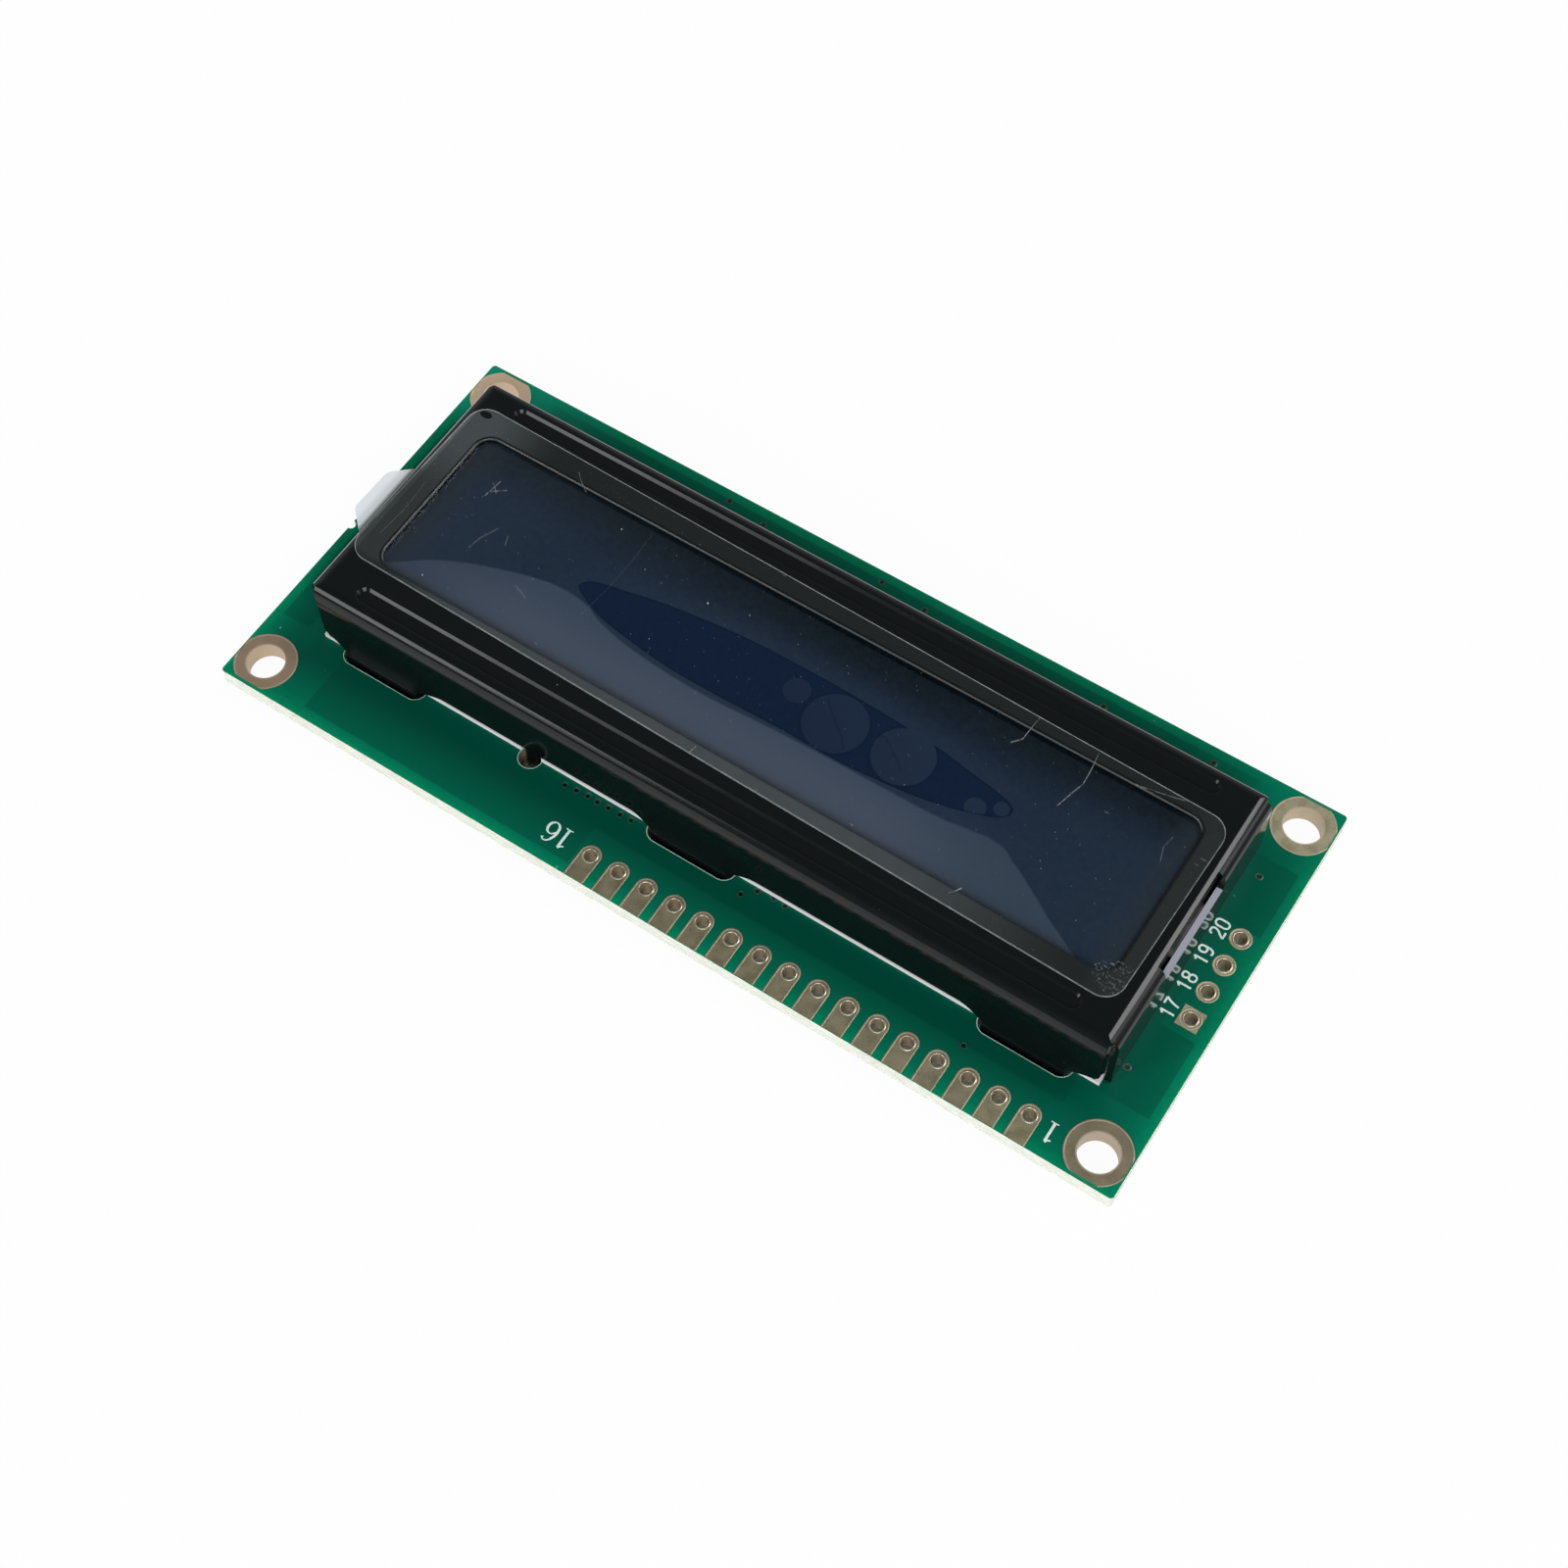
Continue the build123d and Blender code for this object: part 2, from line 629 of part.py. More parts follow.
# Solder: a cone round each lead and a wider one over the earth pin's hole
with BuildPart() as solder_joints:
    for lead_x, lead_y in lead_places:
        with BuildSketch(Plane.XY.offset(board_bottom)):
            with Locations((lead_x, lead_y)):
                Circle(solder_radius)
        with BuildSketch(Plane.XY.offset(board_bottom - solder_height)):
            with Locations((lead_x, lead_y)):
                Circle(solder_tip_radius)
        loft()
    with BuildSketch(Plane.XY.offset(board_bottom)):
        with Locations((pin_x, earth_hole_y)):
            Circle(earth_solder_radius)
    with BuildSketch(Plane.XY.offset(board_bottom - solder_height)):
        with Locations((pin_x, earth_hole_y)):
            Circle(earth_hole_radius)
    loft()
    with BuildSketch(Plane.XY.offset(board_bottom - lead_proud)):
        with Locations(*lead_places):
            Circle(lead_radius)
    extrude(amount=lead_proud, mode=Mode.SUBTRACT)
    with BuildSketch(Plane.XY.offset(board_bottom - pin_proud)):
        with Locations((pin_x, bezel_y + wall_outer - sheet / 2)):
            Rectangle(pin_width, sheet)
    extrude(amount=pin_proud, mode=Mode.SUBTRACT)
save(solder_joints.part, "solder_joints")
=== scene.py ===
import math

import bmesh
import bpy
from mathutils import Matrix, Vector


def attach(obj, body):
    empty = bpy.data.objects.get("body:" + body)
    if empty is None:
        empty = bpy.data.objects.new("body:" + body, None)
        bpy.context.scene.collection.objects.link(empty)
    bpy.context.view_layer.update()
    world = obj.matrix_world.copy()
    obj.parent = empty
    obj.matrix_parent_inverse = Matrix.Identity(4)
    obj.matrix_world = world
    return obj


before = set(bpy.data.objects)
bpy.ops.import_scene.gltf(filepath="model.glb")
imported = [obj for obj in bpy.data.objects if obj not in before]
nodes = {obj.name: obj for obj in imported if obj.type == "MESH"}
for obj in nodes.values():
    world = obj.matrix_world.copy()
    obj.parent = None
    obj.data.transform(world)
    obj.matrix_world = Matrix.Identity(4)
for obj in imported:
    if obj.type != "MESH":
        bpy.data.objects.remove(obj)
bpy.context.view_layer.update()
MM = 0.001

# Camera
# The photo looks down on the module from its pin side, from above pin 1, with a short telephoto lens.
# Place, target and roll come from a fit of the board's corners, holes and pads.
camera_place = Vector((-54.51, 78.49, 166.79)) * MM
camera_target = Vector((-3.316, 3.533, 5.0)) * MM
camera_roll = math.radians(-1.286)
camera_lens = 56.61
sensor_width = 36.0

forward = (camera_target - camera_place).normalized()
level_right = forward.cross(Vector((0, 0, 1))).normalized()
level_up = level_right.cross(forward)
right = level_right * math.cos(camera_roll) + level_up * math.sin(camera_roll)
up = right.cross(forward)
camera_data = bpy.data.cameras.new("camera")
camera_data.lens = camera_lens
camera_data.sensor_width = sensor_width
camera_data.clip_start = 0.01
camera_data.clip_end = 20.0
camera = bpy.data.objects.new("camera", camera_data)
turn = Matrix((right, up, -forward)).transposed().to_4x4()
camera.matrix_world = Matrix.Translation(camera_place) @ turn
bpy.context.scene.collection.objects.link(camera)
bpy.context.scene.camera = camera

# Circuit board
# Glass-fibre laminate, 80 by 36 by 1.6 mm, routed to size, with a glossy green mask printed over its copper.
# The mask is lighter along the edges, where light gets into the laminate, and darker over the copper areas.
board_half_x = 40.0
board_half_y = 18.0
board_bottom = 1.5
board_top = 3.1


def paint(red, green, blue):
    """A colour as seen, 0 to 255, as the linear colour that a shader takes."""
    shares = (red / 255, green / 255, blue / 255)
    linear = [v / 12.92 if v <= 0.04045 else ((v + 0.055) / 1.055) ** 2.4 for v in shares]
    return (*linear, 1.0)


def set_inputs(tree, made, inputs):
    """Feeds a node's inputs from other sockets, or sets them to values."""
    for name, value in inputs.items():
        if isinstance(value, bpy.types.NodeSocket):
            tree.links.new(value, made.inputs[name])
        else:
            made.inputs[name].default_value = value


def add(tree, kind, inputs=None, **settings):
    """A shader node with its settings and its inputs."""
    made = tree.nodes.new("ShaderNode" + kind)
    for name, value in settings.items():
        setattr(made, name, value)
    set_inputs(tree, made, inputs or {})
    return made


def calc(tree, operation, *terms, clamp=False):
    """The result of one Math node."""
    inputs = dict(enumerate(terms))
    return add(tree, "Math", inputs, operation=operation, use_clamp=clamp).outputs[0]


def chain(operation):
    """A function that works out this operation over any number of terms, from the first to the last."""
    def run(tree, first, *others):
        for other in others:
            first = calc(tree, operation, first, other)
        return first
    return run


times = chain("MULTIPLY")
plus = chain("ADD")
minus = chain("SUBTRACT")
largest = chain("MAXIMUM")
smallest = chain("MINIMUM")


def unsigned(tree, value):
    """The value without its sign."""
    return calc(tree, "ABSOLUTE", value)


def away(tree, value, place):
    """How far the value lies from a place, on either side."""
    return unsigned(tree, minus(tree, value, place))


def distance(tree, across, along):
    """The length of an offset."""
    return calc(tree, "SQRT", plus(tree, times(tree, across, across), times(tree, along, along)))


def between(tree, value, low, high, out_low=0.0, out_high=1.0):
    """The value's place from low to high, eased at both ends."""
    inputs = {"Value": value, "From Min": low, "From Max": high, "To Min": out_low, "To Max": out_high}
    return add(tree, "MapRange", inputs, interpolation_type="SMOOTHSTEP").outputs[0]


def tint(tree, factor, first, second):
    """Two colours mixed by a mask."""
    return add(tree, "Mix", {0: factor, 6: first, 7: second}, data_type="RGBA").outputs[2]


def stain(tree, under, colour, *masks):
    """A colour with another laid over it, as strongly as the masks multiplied together."""
    return tint(tree, times(tree, *masks), under, paint(*colour))


def relief(tree, height, strength, depth):
    """The normal of a surface with this fine relief."""
    return add(tree, "Bump", {"Height": height, "Strength": strength, "Distance": depth}).outputs[0]


def new_finish(name, **values):
    """A material whose shader has these plain values. Returns it with its node tree and its shader."""
    material = bpy.data.materials.new(name)
    material.use_nodes = True
    tree = material.node_tree
    shader = tree.nodes["Principled BSDF"]
    for socket, value in values.items():
        shader.inputs[socket.replace("_", " ")].default_value = value
    return material, tree, shader


def feed(tree, shader, **sources):
    """Links these sources to the shader's sockets."""
    for socket, source in sources.items():
        tree.links.new(source, shader.inputs[socket.replace("_", " ")])


def place_in_mm(tree):
    """The point on the piece in millimetres, and its X, Y and Z."""
    spot = add(tree, "TexCoord").outputs["Object"]
    scaled = add(tree, "VectorMath", {0: spot, "Scale": 1000.0}, operation="SCALE").outputs[0]
    parts = add(tree, "SeparateXYZ", {0: scaled}).outputs
    return scaled, parts[0], parts[1], parts[2]


def facing_up(tree):
    """1 where the piece faces straight up, -1 where it faces straight down."""
    return add(tree, "SeparateXYZ", {0: add(tree, "TexCoord").outputs["Normal"]}).outputs[2]


def new_group(name, inputs, outputs):
    """An empty node group. Returns its tree, its incoming sockets and its output node."""
    group = bpy.data.node_groups.new(name, "ShaderNodeTree")
    for label, (kind, value) in inputs.items():
        made = group.interface.new_socket(name=label, in_out="INPUT", socket_type="NodeSocket" + kind)
        if value is not None:
            made.default_value = value
    for label in outputs:
        group.interface.new_socket(name=label, in_out="OUTPUT", socket_type="NodeSocketFloat")
    return group, group.nodes.new("NodeGroupInput").outputs, group.nodes.new("NodeGroupOutput")


def use(tree, group, inputs):
    """A node group placed in a material. Returns its outputs."""
    made = tree.nodes.new("ShaderNodeGroup")
    made.node_tree = group
    set_inputs(tree, made, inputs)
    return made.outputs


# Uneven tone: cloudy noise in two sizes, from 0 to 1
grain, given, result = new_group(
    "uneven_tone",
    {"Place": ("Vector", None), "Scale": ("Float", 1.0), "Fine": ("Float", 12.0)},
    ("Value",),
)
broad = add(grain, "TexNoise", {"Vector": given["Place"], "Scale": given["Scale"], "Detail": 4.0}).outputs[0]
fine_scale = times(grain, given["Scale"], given["Fine"])
fine = add(grain, "TexNoise", {"Vector": given["Place"], "Scale": fine_scale, "Detail": 3.0}).outputs[0]
grain.links.new(plus(grain, times(grain, broad, 0.6), times(grain, fine, 0.4)), result.inputs[0])

# Specks: a dot in some of the cells of a grid, each of its own size
specks, given, result = new_group(
    "specks",
    {"Place": ("Vector", None), "Cells": ("Float", 1.0), "Size": ("Float", 0.1), "Share": ("Float", 0.3)},
    ("Mask",),
)
cells = add(specks, "TexVoronoi", {"Vector": given["Place"], "Scale": given["Cells"]}).outputs
chance = add(specks, "SeparateColor", {0: cells["Color"]}).outputs
chosen = calc(specks, "LESS_THAN", chance[0], given["Share"])
own_size = times(specks, given["Size"], plus(specks, 0.35, chance[1]))
dot = between(specks, cells["Distance"], own_size, times(specks, own_size, 0.5))
specks.links.new(times(specks, dot, chosen), result.inputs[0])

# A rim that stands proud round a hole, from the offset to the hole's centre: the mask for a painted highlight
# on it
hole_rim_highlight, given, result = new_group(
    "hole_rim_highlight",
    {"Across": ("Float", 0.0), "Along": ("Float", 0.0), "Radius": ("Float", 0.5), "Width": ("Float", 0.15)},
    ("Rim", "Distance"),
)
reach = distance(hole_rim_highlight, given["Across"], given["Along"])
middle = plus(hole_rim_highlight, given["Radius"], times(hole_rim_highlight, given["Width"], 0.5))
from_middle = away(hole_rim_highlight, reach, middle)
rim = between(hole_rim_highlight, from_middle, times(hole_rim_highlight, given["Width"], 0.62), 0.0)
hole_rim_highlight.links.new(rim, result.inputs[0])
hole_rim_highlight.links.new(reach, result.inputs[1])


def clouds(tree, spot, scale, fine):
    """The uneven tone at a point."""
    return use(tree, grain, {"Place": spot, "Scale": scale, "Fine": fine})[0]


def dots(tree, spot, cells, size, share):
    """The specks at a point."""
    return use(tree, specks, {"Place": spot, "Cells": cells, "Size": size, "Share": share})[0]


def inside(tree, x, y, low_x, high_x, low_y, high_y, soft=0.08):
    """1 inside a rectangle on the board, with a soft edge."""
    across = minus(tree, (high_x - low_x) / 2, away(tree, x, (high_x + low_x) / 2))
    along = minus(tree, (high_y - low_y) / 2, away(tree, y, (high_y + low_y) / 2))
    return between(tree, smallest(tree, across, along), -soft, soft)


def rounded_reach(tree, x, y, half_x, half_y, radius):
    """How far a point lies outside a rounded rectangle round zero, below 0 inside it."""
    past_x = minus(tree, unsigned(tree, x), half_x - radius)
    past_y = minus(tree, unsigned(tree, y), half_y - radius)
    beyond = {0: largest(tree, past_x, 0.0), 1: largest(tree, past_y, 0.0)}
    corner = add(tree, "CombineXYZ", beyond).outputs[0]
    outside = add(tree, "VectorMath", {0: corner}, operation="LENGTH").outputs["Value"]
    within = smallest(tree, largest(tree, past_x, past_y), 0.0)
    return minus(tree, plus(tree, outside, within), radius)


def set_ramp(ramp, stops):
    """Gives a colour ramp its stops, each a place and a colour."""
    steps = ramp.color_ramp.elements
    for index, (stop, colour) in enumerate(stops):
        step = steps[index] if index < 2 else steps.new(stop)
        step.position = stop
        step.color = colour


mask_finish, tree, shader = new_finish("board_mask", Specular_IOR_Level=0.1)
spot, x, y, z = place_in_mm(tree)
normal_z = facing_up(tree)
flat = calc(tree, "GREATER_THAN", unsigned(tree, normal_z), 0.5)
back = calc(tree, "LESS_THAN", normal_z, -0.5)
inward_x = minus(tree, board_half_x, unsigned(tree, x))
inward_y = minus(tree, board_half_y, unsigned(tree, y))
inward = smallest(tree, inward_x, inward_y)
edge_reach = 8.0
green_steps = (
    (0.0, (0, 142, 98)), (0.05, (0, 133, 93)), (0.11, (0, 119, 87)), (0.2, (0, 108, 80)),
    (0.32, (0, 98, 74)), (0.6, (0, 84, 65)), (1.0, (0, 78, 62)),
)
ramp = add(tree, "ValToRGB", {0: calc(tree, "DIVIDE", inward, edge_reach)})
set_ramp(ramp, [(stop, paint(*colour)) for stop, colour in green_steps])
tone = clouds(tree, spot, 0.12, 20.0)
green = stain(tree, ramp.outputs[0], (0, 84, 66), between(tree, tone, 0.3, 0.7, 0.0, 0.35))

# Areas of copper under the mask, each with its lowest and highest X and its lowest and highest Y
copper_areas = (
    (-39.2, -34.0, -11.6, -5.4), (-39.25, -33.0, 4.5, 11.4), (-36.4, -34.9, -6.0, 5.0),
    (-33.5, 9.5, 11.4, 13.6), (7.2, 32.4, 10.8, 17.1), (36.6, 39.2, -11.2, 11.2), (-33.0, 33.0, -17.2, -14.4),
)
copper = largest(tree, *[inside(tree, x, y, *area) for area in copper_areas])
green = stain(tree, green, (0, 74, 59), copper, 0.5)

# A painted sheen lightens it at its two far corners, more by the tab than by the port
tab_corner_sheen = times(tree, between(tree, x, 24.0, 38.0), between(tree, y, -11.0, -14.0))
green = stain(tree, green, (24, 152, 124), tab_corner_sheen, 0.75)
port_corner_sheen = times(tree, between(tree, x, -24.0, -36.0), between(tree, y, -12.0, -15.0))
green = stain(tree, green, (0, 122, 92), port_corner_sheen, 0.6)

# A thin pale line along the rims of the feet's slots and of the earth hole is a painted highlight on the
# mask's edge
bezel_middle_y = -0.85
foot_x = 29.0
slot_y = 11.95
slot_half = 3.9
slot_radius = 1.0
earth_x = 14.9
earth_y = 11.25
earth_radius = 0.95
from_centre = unsigned(tree, x)
to_slot_x = smallest(tree, from_centre, away(tree, from_centre, foot_x))
to_slot_y = minus(tree, away(tree, y, bezel_middle_y), slot_y)
from_slot = rounded_reach(tree, to_slot_x, to_slot_y, slot_half, slot_radius, slot_radius)
to_earth = (minus(tree, x, earth_x), minus(tree, y, earth_y))
from_earth = rounded_reach(tree, *to_earth, earth_radius, earth_radius, earth_radius)
# The painted highlight along the rims
slot_rim_highlight = between(tree, smallest(tree, from_slot, from_earth), 0.09, 0.03)
green = stain(tree, green, (190, 224, 208), slot_rim_highlight, between(tree, tone, 0.35, 0.6, 0.5, 1.0))

# On the back, fine tracks fan out round the two chips, with a row of them past each fan
chip_places = (-15.0, 13.0)
chip_y = -0.5
fans = []
for chip_x in chip_places:
    across = minus(tree, x, chip_x)
    along = minus(tree, y, chip_y)
    reach = distance(tree, across, along)
    line = calc(tree, "SINE", times(tree, calc(tree, "ARCTAN2", along, across), 46.0))
    zone = times(tree, between(tree, reach, 7.0, 7.6), between(tree, reach, 12.6, 11.2))
    fans.append(times(tree, between(tree, line, -0.15, 0.15), zone))
rows = between(tree, calc(tree, "SINE", times(tree, y, 9.0)), -0.15, 0.15)
for low_x, high_x in ((21.5, 24.5), (-27.0, -24.0)):
    fans.append(times(tree, rows, inside(tree, x, y, low_x, high_x, -11.0, 9.0)))
fan = times(tree, largest(tree, *fans), back)
green = stain(tree, green, (14, 122, 78), fan, 0.7)
green = stain(tree, green, (150, 205, 180), dots(tree, spot, 0.55, 0.05, 0.3), 0.5)

# The routed edge: pale resin with layers of cut glass cloth, and a few dark flecks
squashed = add(tree, "VectorMath", {0: spot, 1: (0.6, 0.6, 9.0)}, operation="MULTIPLY").outputs[0]
layers = add(tree, "TexNoise", {"Vector": squashed, "Scale": 1.6, "Detail": 6.0, "Roughness": 0.7}).outputs[0]
edge_colour = tint(tree, between(tree, layers, 0.35, 0.62), paint(214, 219, 202), paint(246, 247, 240))
edge_colour = stain(tree, edge_colour, (120, 105, 78), dots(tree, spot, 1.4, 0.16, 0.16), 0.35)
# Inside the board's outline, the walls of its slots and holes are painted darker as shade
edge_colour = stain(tree, edge_colour, (122, 118, 92), between(tree, inward, 0.5, 0.7))
gloss = plus(tree, 0.6, times(tree, tone, 0.12))
dull_end = inside(tree, x, y, -40.5, -35.0, -12.5, 12.5, soft=0.4)
gloss = times(tree, gloss, minus(tree, 1.0, times(tree, dull_end, 0.12)))
rough_edge = times(tree, layers, minus(tree, 1.0, flat), 2.5)
height = plus(tree, times(tree, largest(tree, copper, fan), 0.3), times(tree, tone, 0.25), rough_edge)
feed(
    tree, shader,
    Base_Color=tint(tree, flat, edge_colour, green),
    Roughness=minus(tree, 0.8, times(tree, flat, gloss)),
    Normal=relief(tree, height, 0.5, 0.00004),
)


def dress(material, *names):
    """Gives nodes of the model their finish, shaded smooth over their bends."""
    for name in names:
        node = nodes[name]
        node.data.materials.clear()
        node.data.materials.append(material)
        for face in node.data.polygons:
            face.use_smooth = True
            face.material_index = 0


dress(mask_finish, "pcb")

# Vias
# Small plated holes that join the board's two sides, each a low dimple under the mask with the shade of its
# hole painted dark in its middle.
via_radius = 0.3
via_hole = 0.17
via_places = (
    (11.26, 11.79), (10.24, 11.70), (9.23, 11.62), (8.32, 11.65), (7.32, 11.62), (6.26, 11.61), (5.27, 11.55),
    (-5.14, 12.23), (-6.04, 11.36), (-7.41, 11.21), (-8.47, 11.27), (-25.35, 13.66), (-35.97, 8.76),
    (-36.70, -9.91), (15.46, -17.0), (11.87, -16.52), (0.85, -17.0), (-3.41, -16.55), (-19.70, -16.46),
    (-29.22, -16.64),
)


def link_mesh(name, shape, material, flat_ends=False):
    """Puts a new piece in the scene, riding on the module. Smooth, but for flat end faces if asked."""
    mesh = bpy.data.meshes.new(name)
    shape.to_mesh(mesh)
    shape.free()
    for face in mesh.polygons:
        face.use_smooth = not flat_ends or len(face.vertices) == 4
    piece = bpy.data.objects.new(name, mesh)
    bpy.context.scene.collection.objects.link(piece)
    mesh.materials.append(material)
    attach(piece, "root")


def lathe(shape, centre, profile, segments):
    """Turns a profile of (radius, height) points round an upright line through centre."""
    rings = []
    for radius, level in profile:
        ring = []
        for index in range(segments):
            angle = 2 * math.pi * index / segments
            point = (centre[0] + radius * math.cos(angle), centre[1] + radius * math.sin(angle), level)
            ring.append(shape.verts.new(Vector(point) * MM))
        rings.append(ring)
    for low, high in zip(rings, rings[1:]):
        for index in range(segments):
            after = (index + 1) % segments
            shape.faces.new((low[index], low[after], high[after], high[index]))
    return rings


via_profile = (
    (via_radius + 0.06, board_top), (via_radius, board_top + 0.016), (via_hole + 0.05, board_top + 0.02),
    (via_hole, board_top + 0.008), (via_hole, board_top + 0.001),
)
shape = bmesh.new()
for place in via_places:
    rings = lathe(shape, place, via_profile, 16)
    shape.faces.new(rings[-1])
via_finish, tree, shader = new_finish("via_mask", Roughness=0.3)
spot, x, y, z = place_in_mm(tree)
ring_colour = tint(tree, clouds(tree, spot, 0.6, 9.0), paint(0, 74, 56), paint(0, 92, 66))
# The dark middle is painted shade, standing for the hole
hole_shade = between(tree, z, board_top + 0.012, board_top + 0.003)
feed(tree, shader, Base_Color=stain(tree, ring_colour, (2, 8, 7), hole_shade))
link_mesh("vias", shape, via_finish, flat_ends=True)

# Mounting rings
# Bare copper rings with a thin tinned coat, plated through the holes and lapped by the mask along the long
# edges. The coat is dull and slightly tan, with a thin painted highlight along its outline and round each
# hole.
mount_half_x = 37.5
mount_half_y = 15.5
mount_radius = 1.55
ring_line = 2.46
tin_dark = (150, 143, 115)


def plating_finish(name, hole_radius, hole_x, hole_y, outline_reach, dark, light, tongue=False):
    """Dull tinned copper with a painted highlight on the rim round each hole and along its outline, given the
    offsets to the nearest hole.
    """
    material, tree, shader = new_finish(name)
    spot, x, y, z = place_in_mm(tree)
    across = hole_x(tree, x)
    along = hole_y(tree, y)
    offset = {"Across": across, "Along": along, "Radius": hole_radius, "Width": 0.12}
    rim, reach = use(tree, hole_rim_highlight, offset)
    tone = clouds(tree, spot, 0.9, 14.0)
    metal = tint(tree, between(tree, tone, 0.36, 0.64), paint(*dark), paint(*light))
    # Painted light and shade by place: toward the tab's end the far ring is painted light and warm and the
    # near ring ruddy; by the port's end the near ring is painted darker as shade
    tab_end_light = between(tree, x, 10.0, 36.0)
    near_side = between(tree, y, 8.0, 14.0)
    metal = stain(tree, metal, (255, 226, 192), tab_end_light, between(tree, y, -8.0, -14.0), 0.95)
    metal = stain(tree, metal, (188, 160, 136), tab_end_light, near_side, 0.8)
    metal = stain(tree, metal, (116, 104, 84), between(tree, x, -34.5, -35.5), near_side, 0.6)
    metal = stain(tree, metal, (112, 100, 80), dots(tree, spot, 1.1, 0.1, 0.25), 0.35)
    # A painted highlight on the rim round each hole and along the outline
    to_outline = distance(tree, across, smallest(tree, along, 0.0)) if tongue else reach
    line = between(tree, away(tree, to_outline, outline_reach), 0.07, 0.02)
    rim_and_outline_highlight = largest(tree, times(tree, rim, 0.5), times(tree, line, 0.4))
    metal = stain(tree, metal, (228, 220, 198), rim_and_outline_highlight)
    barrel = calc(tree, "LESS_THAN", reach, hole_radius + 0.02)
    metal = stain(tree, metal, (206, 184, 158), barrel, 0.6)
    at_end = between(tree, unsigned(tree, x), 34.5, 34.7)
    lapped = times(tree, at_end, between(tree, unsigned(tree, y), 17.68, 17.74))
    height = plus(tree, times(tree, line, 0.6), times(tree, tone, 0.35))
    feed(
        tree, shader,
        Base_Color=stain(tree, metal, (0, 128, 90), lapped),
        Metallic=times(tree, minus(tree, 1.0, lapped), 0.7),
        Roughness=plus(tree, 0.36, times(tree, tone, 0.2)),
        Normal=relief(tree, height, 0.6, 0.00005),
    )
    return material


def corner_offset(half_pitch):
    """The offset to the nearest of two places at half a pitch each side of the middle."""
    return lambda tree, value: minus(tree, unsigned(tree, value), half_pitch)


ring_finish = plating_finish(
    "ring_plating", mount_radius, corner_offset(mount_half_x), corner_offset(mount_half_y), ring_line,
    tin_dark, (182, 175, 146),
)
ring_names = [f"mount_ring_{side_y}_{side_x}" for side_y in ("front", "rear") for side_x in ("left", "right")]
dress(ring_finish, *ring_names)

# Header pads
# Sixteen plated holes on 2.54 mm, each with a tongue to the board's edge, in the same dull tin, painted
# darker as shade.
pin_pitch = 2.54
pin_radius = 0.5
pad_line = 0.8
header_first_x = -32.0
header_y = 15.7


def row_offset(first):
    """The offset to the nearest place in a row of pads."""
    def offset(tree, value):
        from_first = minus(tree, value, first)
        nearest = times(tree, calc(tree, "ROUND", calc(tree, "DIVIDE", from_first, pin_pitch)), pin_pitch)
        return minus(tree, from_first, nearest)
    return offset


def offset_to(place):
    """The offset to one place."""
    return lambda tree, value: minus(tree, value, place)


# The header's tin is painted darker than the rings' as shade
header_finish = plating_finish(
    "header_plating", pin_radius, row_offset(header_first_x), offset_to(header_y), pad_line,
    (136, 129, 102), (162, 155, 128), tongue=True,
)
dress(header_finish, *[f"header_pad_{number:02d}" for number in range(1, 17)])

# Serial pads
# One square pad and three round ones on 2.54 mm along the short edge, plated like the others.
serial_x = -38.0
serial_first_y = 3.02
serial_finish = plating_finish(
    "serial_plating", pin_radius, offset_to(serial_x), row_offset(serial_first_y), pad_line,
    tin_dark, (178, 170, 142),
)
dress(serial_finish, *[f"serial_pad_{number}" for number in range(1, 5)])

# Pad rims
# Where the plating turns down into a small hole it stands proud as a thin rounded rim, above and below.
plating = 0.05
rim_profile = ((0.5, -0.04), (0.505, 0.012), (0.545, 0.036), (0.59, 0.03), (0.64, 0.0))
pad_places = [(header_first_x + pin_pitch * index, header_y) for index in range(16)]
pad_places += [(serial_x, serial_first_y - pin_pitch * index) for index in range(4)]


def cloudy_finish(name, scale, fine, dark, light, ends=None, rough=None, depth=None, **values):
    """A material in cloudy tones of two colours, whose roughness and fine relief follow the same clouds."""
    material, tree, shader = new_finish(name, **values)
    tone = clouds(tree, place_in_mm(tree)[0], scale, fine)
    share = between(tree, tone, *ends) if ends else tone
    feed(tree, shader, Base_Color=tint(tree, share, paint(*dark), paint(*light)))
    if rough:
        feed(tree, shader, Roughness=plus(tree, rough[0], times(tree, tone, rough[1])))
    if depth:
        feed(tree, shader, Normal=relief(tree, tone, *depth))
    return material


shape = bmesh.new()
for place in pad_places:
    lathe(shape, place, [(radius, board_top + plating + rise) for radius, rise in rim_profile], 28)
    lathe(shape, place, [(radius, board_bottom - plating - rise) for radius, rise in rim_profile], 28)
bmesh.ops.recalc_face_normals(shape, faces=shape.faces)
# Their tin is painted lighter than the pads', a painted highlight on top of the light the rims catch
rim_finish = cloudy_finish(
    "rim_plating", 1.3, 9.0, (176, 166, 140), (222, 213, 190), ends=(0.35, 0.65), rough=(0.22, 0.2),
    Metallic=0.8,
)
link_mesh("pad_rims", shape, rim_finish)

# Printed numbers
# Off-white ink, screen printed on the mask: 1 and 16 in a serif face at the ends of the long row of pads,
# and 17 to 20 in a plain line face beside the four pads at the end.
label_height = 1.1
label_base_x = -36.86
label_advance = 0.76
line_width = 0.17
ink_squash = 0.16
ink_level = board_top + 0.004

